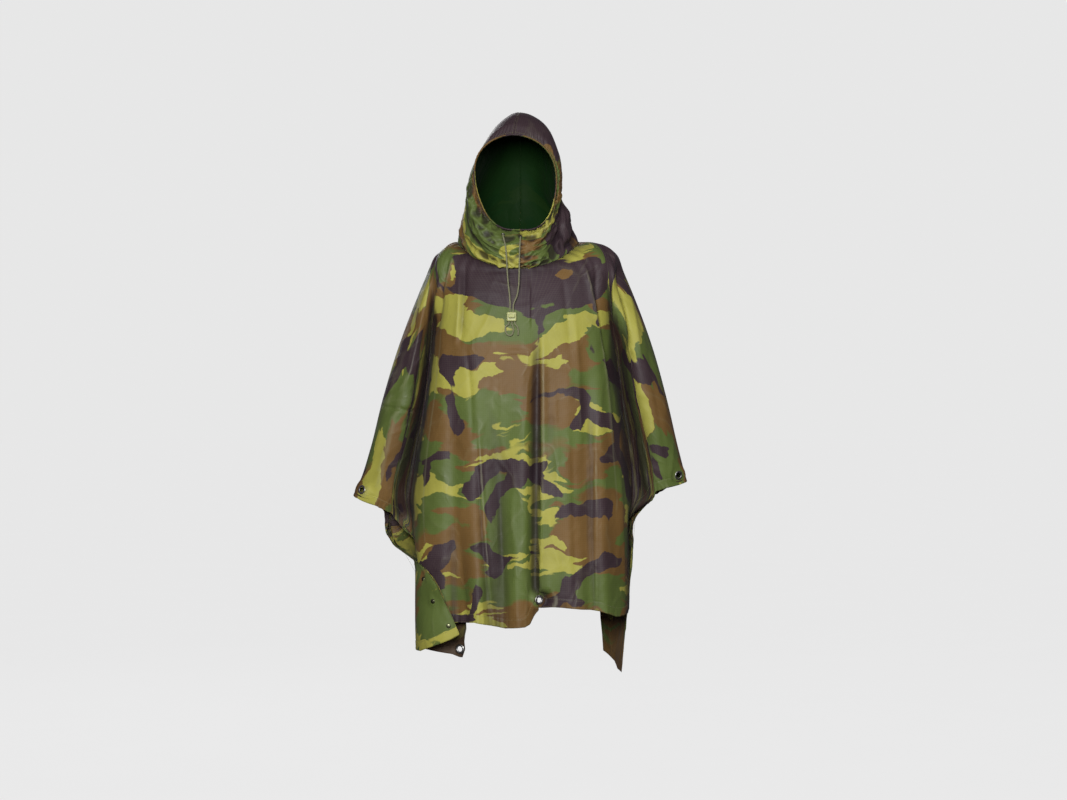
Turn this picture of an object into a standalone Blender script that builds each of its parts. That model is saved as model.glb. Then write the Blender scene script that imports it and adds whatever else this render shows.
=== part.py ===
"""Hooded rain poncho, worn: a ripstop nylon cape draped over a wearer with the arms held a little out.

Metres, +Z up. The front of the garment faces -Y. The origin is the middle of the neck seam, which
is where the wearer's shoulders carry it. Each panel is a wall worked out from sections: a row of the
table for each height, with the places of the arm ridge, the valley beside the arm and the body.
"""
import math

import bmesh
import bpy
import numpy as np
from mathutils import Vector
from mathutils.bvhtree import BVHTree

# ---- driving dimensions -------------------------------------------------------------------------
CLOTH = 0.0016                 # wall of every cloth piece
SEAM = 0.0003                  # gap between two pieces where they are sewn or laid together
NECK_HALF_WIDTH = 0.1445       # neck seam, side to side, halved
NECK_MIDDLE_X = -0.0045
NECK_FRONT = 0.116             # neck seam, forward of the shoulder line
NECK_BACK = 0.106
NECK_SIDE_Z = 0.019
NECK_FRONT_DIP = 0.071
NECK_BACK_RISE = 0.014
NECK_CURVE = 1.5               # how late the seam leaves the height of the shoulders
SHOULDER_TURN = 0.12           # share of a column over which the cloth turns over the shoulder
PANEL_ROWS = 21
SHARP_ANGLE = math.radians(50.0)

GROMMET_OUTER = 0.0112         # radius of the flange
GROMMET_HOLE = 0.0064
GROMMET_HALF_HEIGHT = 0.0015
GROMMET_SIDES = 16
GROMMET_CUT = 0.0117           # radius of the hole in the cloth that the ring sits in
CUT_SIDES = 24
CUT_DEPTH = 0.006
EYELET_OUTER = 0.0048
EYELET_HOLE = 0.0027
EYELET_HALF_HEIGHT = 0.0006
EYELET_SIDES = 12
CORD_RADIUS = 0.0018
CORD_STEP = 0.0085             # distance between the points of a cord's tube
LOCK_BODY = (0.0225, 0.0120, 0.0215)
LOCK_BODY_ROUND = 0.0030
LOCK_BUTTON = (0.0150, 0.0085, 0.0100)
LOCK_BUTTON_ROUND = 0.0020
LOCK_BUTTON_RAISED = 0.002
LOCK_PLACE = (-0.0186, -0.1480, -0.1660)
SNAP_RADIUS = 0.0055
SNAP_TAPER = 0.62
SNAP_SIDES = 10
SNAP_HEIGHT = 0.0020
SEAT = 0.0005                  # gap between a fitting and the highest cloth under it
SEAT_REACH = 0.020             # how far over the cloth its seat is looked for
SEAT_RINGS = (0.25, 0.5, 0.75, 1.0)
SEAT_SPOTS = 20

# ---- colours: base colour, roughness, metallic --------------------------------------------------
FINISHES = {
    "camo_nylon": ((0.16, 0.17, 0.06, 1.0), 0.55, 0.0),
    "grommet_steel": ((0.72, 0.72, 0.70, 1.0), 0.30, 1.0),
    "olive_cord": ((0.30, 0.30, 0.16, 1.0), 0.80, 0.0),
    "lock_plastic": ((0.42, 0.44, 0.20, 1.0), 0.45, 0.0),
    "snap_brass": ((0.20, 0.21, 0.12, 1.0), 0.40, 1.0),
}

# ---- sections of the panels ---------------------------------------------------------------------
# One row for each height. ridge: line along the top of the arm, where front meets back.
# lip: inner edge of the arm wing. valley: floor of the fold beside the body. body: side of the body.
SECTION_COLUMNS = ("z", "ridge_l", "lip_l", "valley_l", "body_l", "body_r", "valley_r", "lip_r", "ridge_r",
                   "wing_y", "lip_y", "valley_y", "body_y")
FRONT_SECTIONS = (
    (-0.055, -0.222, -0.208, -0.196, -0.178, 0.190, 0.206, 0.222, 0.250, -0.040, -0.058, -0.075, -0.118),
    (-0.120, -0.249, -0.214, -0.202, -0.190, 0.198, 0.212, 0.228, 0.277, -0.066, -0.066, -0.040, -0.134),
    (-0.240, -0.294, -0.224, -0.212, -0.202, 0.210, 0.229, 0.248, 0.320, -0.076, -0.062, 0.016, -0.150),
    (-0.360, -0.330, -0.240, -0.226, -0.216, 0.220, 0.242, 0.264, 0.353, -0.074, -0.056, 0.026, -0.156),
    (-0.480, -0.360, -0.266, -0.246, -0.232, 0.232, 0.258, 0.292, 0.381, -0.058, -0.046, 0.026, -0.160),
    (-0.554, -0.384, -0.284, -0.256, -0.238, 0.240, 0.264, 0.302, 0.401, -0.034, -0.040, 0.022, -0.163),
    (-0.592, -0.402, -0.286, -0.260, -0.240, 0.243, 0.264, 0.300, 0.414, -0.024, -0.030, 0.010, -0.165),
    (-0.640, -0.424, -0.274, -0.254, -0.240, 0.244, 0.258, 0.264, 0.430, -0.018, -0.006, 0.000, -0.167),
    (-0.700, -0.440, -0.246, -0.252, -0.238, 0.244, 0.256, 0.260, 0.440, -0.014, -0.030, -0.045, -0.169),
    (-0.760, -0.440, -0.190, -0.250, -0.226, 0.245, 0.256, 0.260, 0.440, -0.014, -0.076, -0.060, -0.171),
    (-0.840, -0.440, -0.126, -0.250, -0.220, 0.245, 0.257, 0.261, 0.440, -0.014, -0.112, -0.066, -0.173),
    (-0.980, -0.440, -0.118, -0.250, -0.216, 0.246, 0.258, 0.262, 0.440, -0.014, -0.120, -0.070, -0.176),
)
BACK_SECTIONS = (
    (-0.055, -0.222, -0.208, -0.196, -0.178, 0.190, 0.206, 0.222, 0.250, 0.040, 0.066, 0.082, 0.116),
    (-0.120, -0.249, -0.214, -0.202, -0.184, 0.190, 0.212, 0.228, 0.277, 0.062, 0.074, 0.086, 0.132),
    (-0.240, -0.294, -0.226, -0.208, -0.190, 0.196, 0.224, 0.246, 0.320, 0.070, 0.074, 0.078, 0.140),
    (-0.360, -0.330, -0.248, -0.220, -0.198, 0.204, 0.234, 0.266, 0.353, 0.072, 0.068, 0.064, 0.142),
    (-0.480, -0.360, -0.280, -0.240, -0.208, 0.214, 0.246, 0.298, 0.381, 0.066, 0.062, 0.058, 0.146),
    (-0.554, -0.384, -0.300, -0.254, -0.216, 0.222, 0.256, 0.306, 0.401, 0.046, 0.056, 0.056, 0.150),
    (-0.592, -0.402, -0.308, -0.262, -0.222, 0.226, 0.262, 0.304, 0.414, 0.034, 0.050, 0.056, 0.152),
    (-0.640, -0.424, -0.308, -0.266, -0.226, 0.228, 0.262, 0.278, 0.430, 0.030, 0.044, 0.054, 0.155),
    (-0.700, -0.440, -0.300, -0.266, -0.228, 0.228, 0.262, 0.270, 0.440, 0.026, 0.030, 0.050, 0.158),
    (-0.760, -0.440, -0.204, -0.262, -0.226, 0.226, 0.260, 0.266, 0.440, 0.020, -0.170, -0.110, 0.162),
    (-0.840, -0.440, -0.166, -0.262, -0.224, 0.222, 0.254, 0.258, 0.440, 0.020, -0.186, -0.150, 0.167),
    (-1.020, -0.440, -0.080, -0.262, -0.222, 0.214, 0.238, 0.242, 0.440, 0.020, -0.206, -0.160, 0.174),
)
# Left side below the arm. The back panel laps round onto the front and ends at its free side edge;
# the front panel's own corner is tucked in behind the front.
LAP_COLUMNS = ("z", "side_x", "side_y", "turn_x", "turn_y", "edge_x", "edge_y")
LAPS = {
    "front_panel": (
        (-0.700, -0.236, -0.125, -0.250, -0.050, -0.244, -0.024),
        (-0.760, -0.226, -0.128, -0.250, -0.070, -0.186, -0.084),
        (-0.840, -0.220, -0.130, -0.250, -0.080, -0.124, -0.116),
        (-0.980, -0.216, -0.130, -0.250, -0.084, -0.116, -0.126),
    ),
    "back_panel": (
        (-0.700, -0.230, 0.110, -0.262, 0.045, -0.298, 0.026),
        (-0.760, -0.236, 0.050, -0.258, -0.110, -0.206, -0.170),
        (-0.840, -0.236, 0.040, -0.262, -0.150, -0.166, -0.186),
        (-1.020, -0.236, 0.040, -0.262, -0.160, -0.080, -0.206),
    ),
}
# Below its cuff (left and right height) a wing has no cloth left: its stations draw in to the side
# edge. On the right that edge hangs at the side, where front and back almost meet.
CUFF_END = {"front_panel": (-0.66, -0.61), "back_panel": (-0.73, -0.61)}
EDGE_LEFTOVER = 0.12
RIGHT_TURN_Y = 0.030
RIGHT_EDGE_Y = 0.0006
# Stations across a section: 0 and 14 are the arm ridges, 3 and 11 the wing lips, 4 and 10 the
# valleys, 5 and 9 the sides of the body, 7 its middle.
LAST_STATION = 14
MIDDLE_STATION = 7
LEFT_LIP, LEFT_VALLEY, LEFT_SIDE = 3, 4, 5
RIGHT_SIDE, RIGHT_VALLEY, RIGHT_LIP = 9, 10, 11
NECK_STATIONS = 3.0            # the neck seam takes this many stations to each side of the middle
RIDGE_STEP = 0.008             # from the arm ridge to the next station
RIDGE_DEPTH = 0.55             # its depth, as a share of the wing's
WING_MIDDLE = 0.55             # the wing's middle station, as a share of ridge to lip
CHEST_STEP = 0.24              # from the side of the body to the next station, share of its width
SIDE_DEPTH = 0.74              # depths of those two stations, as a share of the middle's
CHEST_DEPTH = 0.97
# Columns of the mesh: from a station, in so many steps, up to the next.
COLUMN_RUNS = ((0.0, 2), (1.0, 2), (2.0, 2), (2.6, 4), (3.0, 4), (4.0, 4), (5.0, 3), (6.0, 4), (7.0, 1),
               (7.15, 1), (7.3, 3), (8.0, 2), (8.8, 1), (9.0, 4), (10.0, 3), (11.0, 4), (11.4, 2),
               (12.0, 2), (13.0, 2), (14.0, 0))

# Lower edge: the height of the cloth's edge at each station. The wings end at the cuff, the body
# at the hem, and between the two the side edge drops past the arm.
EDGE_COLUMNS = ("station", "z")
FRONT_EDGE = (
    (0.0, -0.588), (1.0, -0.596), (2.0, -0.612), (2.6, -0.632), (3.0, -0.961), (4.0, -0.946),
    (5.0, -0.915), (5.4, -0.882), (6.0, -0.876), (6.6, -0.890), (7.0, -0.884), (7.15, -0.862),
    (7.3, -0.840), (8.0, -0.845), (8.5, -0.852), (9.0, -0.868), (10.0, -0.866), (11.0, -0.860),
    (11.4, -0.590), (12.0, -0.582), (13.0, -0.568), (14.0, -0.554),
)
BACK_EDGE = (
    (0.0, -0.588), (1.0, -0.594), (2.0, -0.606), (2.3, -0.616), (2.6, -0.664), (3.0, -0.902), (4.0, -0.946),
    (5.0, -0.950), (6.0, -0.880), (7.0, -0.851), (8.0, -0.850), (8.8, -0.858), (9.0, -0.975),
    (10.0, -1.010), (11.0, -1.014), (11.4, -0.606), (12.0, -0.588), (13.0, -0.570), (14.0, -0.554),
)
# Shoulder line from the arm ridge to the neck, shared by front and back.
SHOULDER_COLUMNS = ("station", "x", "z")
SHOULDER_LEFT = ((0.0, -0.222, -0.055), (1.0, -0.213, -0.034), (2.0, -0.196, -0.016), (3.0, -0.173, 0.002),
                 (4.0, -0.149, NECK_SIDE_Z))
SHOULDER_RIGHT = ((10.0, 0.140, NECK_SIDE_Z), (11.0, 0.168, 0.018), (12.0, 0.200, 0.007),
                  (13.0, 0.232, -0.014), (14.0, 0.250, -0.055))

# Largest folds: a soft ridge (height above 0) or trough that runs from one end to the other.
FOLD_COLUMNS = ("top_x", "top_z", "low_x", "low_z", "half_width", "height")
FOLD_START = 0.33              # share of its length over which a fold rises
FOLD_TOP = 0.6                 # its height at the top, as a share of that at the hem
LOOSE_AFTER = 0.2              # share of a column above which the shoulders hold the cloth smooth
FRONT_FOLDS = (
    (0.018, -0.22, 0.010, -0.92, 0.030, 0.016),
    (0.046, -0.22, 0.044, -0.92, 0.014, -0.016),
    (-0.110, -0.20, -0.092, -0.92, 0.026, 0.010),
    (-0.052, -0.34, -0.036, -0.92, 0.022, -0.008),
    (-0.158, -0.16, -0.150, -0.92, 0.020, -0.010),
    (0.112, -0.16, 0.126, -0.92, 0.026, 0.010),
    (0.152, -0.20, 0.166, -0.92, 0.016, -0.012),
    (0.186, -0.06, 0.200, -0.92, 0.018, 0.012),
    (-0.286, -0.16, -0.338, -0.60, 0.022, 0.006),
    (0.306, -0.16, 0.352, -0.58, 0.022, 0.006),
)
BACK_FOLDS = (
    (-0.120, -0.14, -0.135, -1.00, 0.028, 0.012),
    (-0.060, -0.20, -0.070, -1.00, 0.024, -0.010),
    (0.010, -0.12, 0.020, -1.00, 0.032, 0.012),
    (0.080, -0.20, 0.088, -1.00, 0.024, -0.010),
    (0.140, -0.14, 0.156, -1.00, 0.026, 0.012),
)
HEM_WAVE = 0.005               # ripple of the lower edge
HEM_WAVE_LENGTH = 0.085
HEM_WAVE_REACH = 0.16
HEM_WAVE_STATIONS = 2.0        # to each side of the middle

# ---- hood ---------------------------------------------------------------------------------------
# One row for each ring from the face opening back to the neck seam. front: the ring's point under
# the chin. crown: its point over the head. Widths are to each side; egg above 0 is wide at the top.
# shoulder: how far the ring's sides ride up over the shoulders.
HOOD_COLUMNS = ("front_y", "front_z", "crown_x", "crown_y", "crown_z", "left", "right",
                "egg_l", "egg_r", "round", "shoulder")
HOOD_RINGS = (
    (-0.100, 0.0385, -0.014, -0.106, 0.263, 0.099, 0.0945, 0.10, 0.10, 0.62, 0.000),
    (-0.113, 0.0300, -0.010, -0.096, 0.292, 0.108, 0.0975, -0.20, 0.04, 0.80, 0.000),
    (-0.124, 0.0190, -0.004, -0.062, 0.318, 0.121, 0.1000, -0.34, 0.02, 0.94, 0.000),
    (-0.132, 0.0050, 0.000, -0.004, 0.326, 0.131, 0.0995, -0.36, -0.02, 1.00, 0.000),
    (-0.136, -0.010, 0.000, 0.060, 0.304, 0.133, 0.099, -0.34, -0.02, 1.00, 0.002),
    (-0.136, -0.026, 0.000, 0.108, 0.246, 0.136, 0.094, -0.24, -0.02, 1.00, 0.005),
    (-0.132, -0.039, 0.000, 0.128, 0.168, 0.140, 0.100, -0.14, -0.14, 1.00, 0.011),
    (-0.125, -0.048, 0.000, 0.126, 0.090, 0.145, 0.128, -0.06, -0.02, 1.00, 0.019),
)
HOOD_BUNCH = {"ring": 5.8, "angle": -1.28, "ring_spread": 0.8, "angle_spread": 0.34, "height": 0.026}
# The face opening and the rings next to it narrow towards the crown.
HOOD_PEAK = 0.42
HOOD_PEAK_RINGS = 3
HOOD_MIDDLE_Z = 0.13
HOOD_SEAT = 0.0005             # gap over the neck seam
CROWN_SEAM = 0.0004            # gap between the two halves
FACE_HEM_WIDTH = 0.011
FACE_HEM_THICK = 0.0036
FACE_HEM_AHEAD = 0.0012        # gap before the hood's edge
FACE_HEM_INSET = 0.0008
FACE_HEM_STEPS = 44
FACE_HEM_SIDES = 6


# ---- small helpers ------------------------------------------------------------------------------
def new_material(name):
    colour, roughness, metallic = FINISHES[name]
    material = bpy.data.materials.new(name)
    material.use_nodes = True
    shader = material.node_tree.nodes["Principled BSDF"]
    shader.inputs["Base Color"].default_value = colour
    shader.inputs["Roughness"].default_value = roughness
    shader.inputs["Metallic"].default_value = metallic
    material.diffuse_color = colour
    return material


def add_object(name, mesh, finish):
    thing = bpy.data.objects.new(name, mesh)
    bpy.context.scene.collection.objects.link(thing)
    thing.data.materials.append(new_material(finish))
    return thing


def mesh_from(name, points, faces, smooth=True):
    mesh = bpy.data.meshes.new(name)
    mesh.from_pydata([tuple(point) for point in points], [], faces)
    shell = bmesh.new()
    shell.from_mesh(mesh)
    bmesh.ops.recalc_face_normals(shell, faces=shell.faces)
    shell.to_mesh(mesh)
    shell.free()
    if smooth:
        mesh.shade_smooth()
        mesh.set_sharp_from_angle(angle=SHARP_ANGLE)
    return mesh


def column(table, columns, name):
    return np.array([row[columns.index(name)] for row in table])


def curve_through(knots, values, at):
    """A smooth curve through the knots (cubic Hermite), held level past both ends."""
    knots = np.asarray(knots, float)
    values = np.asarray(values, float)
    if knots[0] > knots[-1]:
        knots, values = knots[::-1], values[::-1]
    at = np.clip(at, knots[0], knots[-1])
    slopes = np.gradient(values, knots)
    low = np.clip(np.searchsorted(knots, at, side="right") - 1, 0, len(knots) - 2)
    span = knots[low + 1] - knots[low]
    s = (at - knots[low]) / span
    return ((2 * s ** 3 - 3 * s ** 2 + 1) * values[low] + (s ** 3 - 2 * s ** 2 + s) * span * slopes[low]
            + (3 * s ** 2 - 2 * s ** 3) * values[low + 1] + (s ** 3 - s ** 2) * span * slopes[low + 1])


def soft_weights(station, count):
    """Weights of a uniform cubic B-spline over the control stations, exact at both ends."""
    station = np.asarray(station, float)
    weights = np.zeros(station.shape + (count,))
    low = np.clip(np.floor(station).astype(int), 0, count - 2)
    s = station - low
    parts = ((1 - s) ** 3 / 6, (3 * s ** 3 - 6 * s ** 2 + 4) / 6,
             (-3 * s ** 3 + 3 * s ** 2 + 3 * s + 1) / 6, s ** 3 / 6)
    for offset, part in zip((-1, 0, 1, 2), parts):
        index = low + offset
        inside = np.clip(index, 0, count - 1)
        mirror = np.where(index < 0, 1, count - 2)
        outside = (index < 0) | (index > count - 1)
        for position in np.ndindex(station.shape):
            if outside[position]:
                weights[position + (inside[position],)] += 2 * part[position]
                weights[position + (mirror[position],)] -= part[position]
            else:
                weights[position + (inside[position],)] += part[position]
    return weights


def station_list():
    stations = []
    for (start, steps), (stop, _) in zip(COLUMN_RUNS, COLUMN_RUNS[1:]):
        stations += [start + (stop - start) * step / steps for step in range(steps)]
    return np.array(stations + [float(LAST_STATION)])


# ---- panels -------------------------------------------------------------------------------------
def neck_point(angle):
    """Neck seam; the angle is 0 at the front, pi / 2 on the left shoulder and pi at the nape."""
    ahead = np.cos(angle)
    front = np.clip(ahead, 0.0, 1.0)
    back = np.clip(-ahead, 0.0, 1.0)
    x = NECK_MIDDLE_X - NECK_HALF_WIDTH * np.sin(angle)
    y = -NECK_FRONT * front + NECK_BACK * back
    z = NECK_SIDE_Z - NECK_FRONT_DIP * front ** NECK_CURVE + NECK_BACK_RISE * back ** NECK_CURVE
    return np.stack([x, y, z], axis=-1)


def top_line(stations, facing):
    """Upper edge of a panel: shoulder line, half of the neck seam, shoulder line."""
    turn = (MIDDLE_STATION - stations) / NECK_STATIONS * math.pi / 2
    points = neck_point(turn if facing < 0 else math.pi - turn)
    for shoulder, held in ((SHOULDER_LEFT, stations < LEFT_VALLEY), (SHOULDER_RIGHT, stations > RIGHT_VALLEY)):
        knots = column(shoulder, SHOULDER_COLUMNS, "station")
        points[held, 0] = curve_through(knots, column(shoulder, SHOULDER_COLUMNS, "x"), stations[held])
        points[held, 1] = 0.0
        points[held, 2] = curve_through(knots, column(shoulder, SHOULDER_COLUMNS, "z"), stations[held])
    return points


def gather_wing(xs, ys, stations, edge, fold):
    """Below the cuff the wing's stations lie just past the side edge, in line with the cloth."""
    for step, station in enumerate(stations, start=1):
        xs[station] = xs[edge] + EDGE_LEFTOVER * step * (xs[edge] - xs[fold])
        ys[station] = ys[edge] + EDGE_LEFTOVER * step * (ys[edge] - ys[fold])


def section_stations(name, sections):
    """Control stations (x and y) of every section, from the named columns of its table."""
    facing = math.copysign(1.0, sections[0][-1])
    rows_x, rows_y, heights = [], [], []
    for section in sections:
        at = dict(zip(SECTION_COLUMNS, section))
        width = at["body_r"] - at["body_l"]
        middle = (at["body_r"] + at["body_l"]) / 2
        wing_l = at["ridge_l"] + WING_MIDDLE * (at["lip_l"] - at["ridge_l"])
        wing_r = at["ridge_r"] + WING_MIDDLE * (at["lip_r"] - at["ridge_r"])
        xs = [at["ridge_l"], at["ridge_l"] + RIDGE_STEP, wing_l, at["lip_l"], at["valley_l"],
              at["body_l"], at["body_l"] + CHEST_STEP * width, middle,
              at["body_r"] - CHEST_STEP * width, at["body_r"],
              at["valley_r"], at["lip_r"], wing_r, at["ridge_r"] - RIDGE_STEP, at["ridge_r"]]
        ys = [0.0, RIDGE_DEPTH * at["wing_y"], at["wing_y"], at["lip_y"], at["valley_y"],
              SIDE_DEPTH * at["body_y"], CHEST_DEPTH * at["body_y"], at["body_y"]]
        ys = ys + ys[-2::-1]
        if at["z"] < CUFF_END[name][1]:
            ys[RIGHT_VALLEY] = facing * RIGHT_TURN_Y
            ys[RIGHT_LIP] = facing * RIGHT_EDGE_Y
            gather_wing(xs, ys, range(RIGHT_LIP + 1, LAST_STATION + 1), RIGHT_LIP, RIGHT_VALLEY)
        for row in LAPS[name]:
            lap = dict(zip(LAP_COLUMNS, row))
            if lap["z"] == at["z"]:
                xs[LEFT_SIDE], ys[LEFT_SIDE] = lap["side_x"], lap["side_y"]
                xs[LEFT_VALLEY], ys[LEFT_VALLEY] = lap["turn_x"], lap["turn_y"]
                xs[LEFT_LIP], ys[LEFT_LIP] = lap["edge_x"], lap["edge_y"]
        if at["z"] < CUFF_END[name][0]:
            gather_wing(xs, ys, range(LEFT_LIP - 1, -1, -1), LEFT_LIP, LEFT_VALLEY)
        heights.append(at["z"])
        rows_x.append(xs)
        rows_y.append(ys)
    return np.array(heights), np.array(rows_x), np.array(rows_y)


def fold_offset(folds, x, z):
    """How far the folds lift the cloth outward at a place."""
    lift = np.zeros_like(x)
    for row in folds:
        fold = dict(zip(FOLD_COLUMNS, row))
        along = np.clip((fold["top_z"] - z) / (fold["top_z"] - fold["low_z"]), 0.0, 1.0)
        across = (x - fold["top_x"] - (fold["low_x"] - fold["top_x"]) * along) / fold["half_width"]
        grown = np.minimum(along / FOLD_START, 1.0) * (FOLD_TOP + (1 - FOLD_TOP) * along)
        lift += fold["height"] * np.exp(-across ** 2) * grown
    return lift


def panel_points(name, sections, edge, folds):
    facing = math.copysign(1.0, sections[0][-1])
    stations = station_list()
    heights, rows_x, rows_y = section_stations(name, sections)
    weights = soft_weights(stations, LAST_STATION + 1)
    top = top_line(stations, facing)
    low_z = np.interp(stations, column(edge, EDGE_COLUMNS, "station"), column(edge, EDGE_COLUMNS, "z"))
    share = np.linspace(0.0, 1.0, PANEL_ROWS + 1)
    turn = np.clip(share / SHOULDER_TURN, 0.0, 1.0) * math.pi / 2
    turned = 1 / (1 + math.pi * (1 - SHOULDER_TURN) / (2 * SHOULDER_TURN))
    fall = np.where(share < SHOULDER_TURN, turned * (1 - np.cos(turn)),
                    turned + (1 - turned) * (share - SHOULDER_TURN) / (1 - SHOULDER_TURN))
    z = top[None, :, 2] + (low_z - top[:, 2])[None, :] * fall[:, None]
    x = np.zeros_like(z)
    y = np.zeros_like(z)
    for station in range(LAST_STATION + 1):
        x += weights[None, :, station] * curve_through(heights, rows_x[:, station], z)
        y += weights[None, :, station] * curve_through(heights, rows_y[:, station], z)
    hold = (1 - np.sin(turn))[:, None]
    x += (top[:, 0] - x[0])[None, :] * hold
    y += (top[:, 1] - y[0])[None, :] * hold
    inside = np.clip(np.minimum(stations, LAST_STATION - stations), 0.0, 1.0)
    loose = np.clip(share / LOOSE_AFTER, 0.0, 1.0)[:, None] * inside[None, :]
    y += facing * fold_offset(folds, x, z) * loose
    near_hem = np.clip(1 - (z - low_z[None, :]) / HEM_WAVE_REACH, 0.0, 1.0)
    body = np.clip(2 * (HEM_WAVE_STATIONS - np.abs(stations - MIDDLE_STATION)), 0.0, 1.0)[None, :]
    y += HEM_WAVE * near_hem * body * np.sin(2 * math.pi * x / HEM_WAVE_LENGTH)
    # both panels end on the arm ridges
    y[:, 0] = 0.0
    y[:, -1] = 0.0
    return np.stack([x, y, z], axis=-1)


def surface_normals(points, facing):
    down = np.gradient(points, axis=0)
    across = np.gradient(points, axis=1)
    normals = np.cross(down, across) * -facing
    length = np.linalg.norm(normals, axis=-1, keepdims=True)
    return normals / np.maximum(length, 1e-9)


def grid_triangles(rows, columns):
    """Two triangles for each cell of a grid, always split the same way."""
    triangles = []
    for row in range(rows - 1):
        for column in range(columns - 1):
            first = row * columns + column
            below = first + columns
            triangles.append((first, first + 1, below + 1))
            triangles.append((first, below + 1, below))
    return triangles


def wall_mesh(name, outer, inner):
    """A closed wall between an outer and an inner grid of the same size."""
    rows, columns = outer.shape[:2]
    points = np.concatenate([outer.reshape(-1, 3), inner.reshape(-1, 3)])
    half = rows * columns
    faces = grid_triangles(rows, columns)
    faces += [(half + last, half + middle, half + first) for first, middle, last in faces]
    rim = list(range(columns)) + [row * columns + columns - 1 for row in range(1, rows)]
    rim += [(rows - 1) * columns + column for column in range(columns - 2, -1, -1)]
    rim += [row * columns for row in range(rows - 2, 0, -1)]
    for first, second in zip(rim, rim[1:] + rim[:1]):
        faces.append((second, first, half + first, half + second))
    return mesh_from(name, points, faces)


def ring_faces(steps, sides):
    """Faces of a closed ring of so many steps with so many points in each."""
    faces = []
    for step in range(steps):
        following = (step + 1) % steps
        for side in range(sides):
            beside = (side + 1) % sides
            faces.append((step * sides + side, step * sides + beside,
                          following * sides + beside, following * sides + side))
    return faces


def build_panel(name, sections, edge, folds):
    """A panel's object and the points of its outer face."""
    facing = math.copysign(1.0, sections[0][-1])
    points = panel_points(name, sections, edge, folds)
    normals = surface_normals(points, facing)
    flat_edge = normals.copy()
    flat_edge[..., 1] = 0.0
    flat_edge /= np.maximum(np.linalg.norm(flat_edge, axis=-1, keepdims=True), 1e-9)
    stations = station_list()
    shoulder = (stations < LEFT_VALLEY) | (stations > RIGHT_VALLEY)
    normals[0, shoulder] = flat_edge[0, shoulder]
    normals[:, 0] = flat_edge[:, 0]
    normals[:, -1] = flat_edge[:, -1]
    points[..., 1] += facing * SEAM
    return add_object(name, wall_mesh(name, points, points - normals * CLOTH), "camo_nylon"), points


# ---- hood ---------------------------------------------------------------------------------------
def hood_angles(side):
    """Angles round a ring, chin to crown; they match the columns of the panels at the neck."""
    stations = station_list()
    if side < 0:
        half = stations[(stations >= LEFT_VALLEY) & (stations <= MIDDLE_STATION)][::-1]
    else:
        half = stations[(stations >= MIDDLE_STATION) & (stations <= RIGHT_VALLEY)]
    front = np.abs(MIDDLE_STATION - half) / NECK_STATIONS * math.pi / 2
    return np.concatenate([front, math.pi - front[-2::-1]])


def hood_half(side):
    """Grid of one hood half: rows from the face opening to the neck, columns from chin to crown."""
    angles = hood_angles(side)
    rise = (1 - np.cos(angles)) / 2
    grid = []
    for index, row in enumerate(HOOD_RINGS):
        ring = dict(zip(HOOD_COLUMNS, row))
        width = ring["left"] if side < 0 else ring["right"]
        lean = ring["egg_l"] if side < 0 else ring["egg_r"]
        peak = HOOD_PEAK * rise ** 2 * max(0.0, 1 - index / HOOD_PEAK_RINGS)
        outline = np.sin(angles) ** (ring["round"] + peak) * (1 - lean * np.cos(angles))
        x = ring["crown_x"] * rise + side * width * outline / np.max(outline)
        y = ring["front_y"] * (1 - rise) + ring["crown_y"] * rise
        z = ring["front_z"] * (1 - rise) + ring["crown_z"] * rise + ring["shoulder"] * np.sin(angles) ** 2
        near = math.exp(-((index - HOOD_BUNCH["ring"]) / HOOD_BUNCH["ring_spread"]) ** 2)
        around = np.exp(-((angles * -side - HOOD_BUNCH["angle"]) / HOOD_BUNCH["angle_spread"]) ** 2)
        x = x + side * HOOD_BUNCH["height"] * near * around
        grid.append(np.stack([x, y, z], axis=-1))
    seam = neck_point(angles if side < 0 else -angles)
    seam[:, 2] += HOOD_SEAT
    grid.append(seam)
    return np.array(grid)


def hood_wall(side):
    points = hood_half(side)
    normals = surface_normals(points, 1.0)
    outward = points - np.array((0.0, 0.0, HOOD_MIDDLE_Z))
    normals = normals * np.where(np.sum(normals * outward, axis=-1, keepdims=True) < 0, -1.0, 1.0)
    for column in (0, -1):
        normals[:, column, 0] = 0.0
    normals[-1, :, 2] = 0.0
    normals /= np.maximum(np.linalg.norm(normals, axis=-1, keepdims=True), 1e-9)
    points[..., 0] += side * CROWN_SEAM / 2
    return points, points - normals * CLOTH


def build_hood():
    """Both halves; gives the edge of the face opening and the surfaces the eyelets lie on."""
    rims, trees = [], []
    for name, side in (("hood_left", -1), ("hood_right", 1)):
        outer, inner = hood_wall(side)
        add_object(name, wall_mesh(name, outer, inner), "camo_nylon")
        rims.append(outer[0])
        trees.append(tree_of(outer))
    return np.concatenate([rims[0], rims[1][-2:0:-1]]), trees


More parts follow.
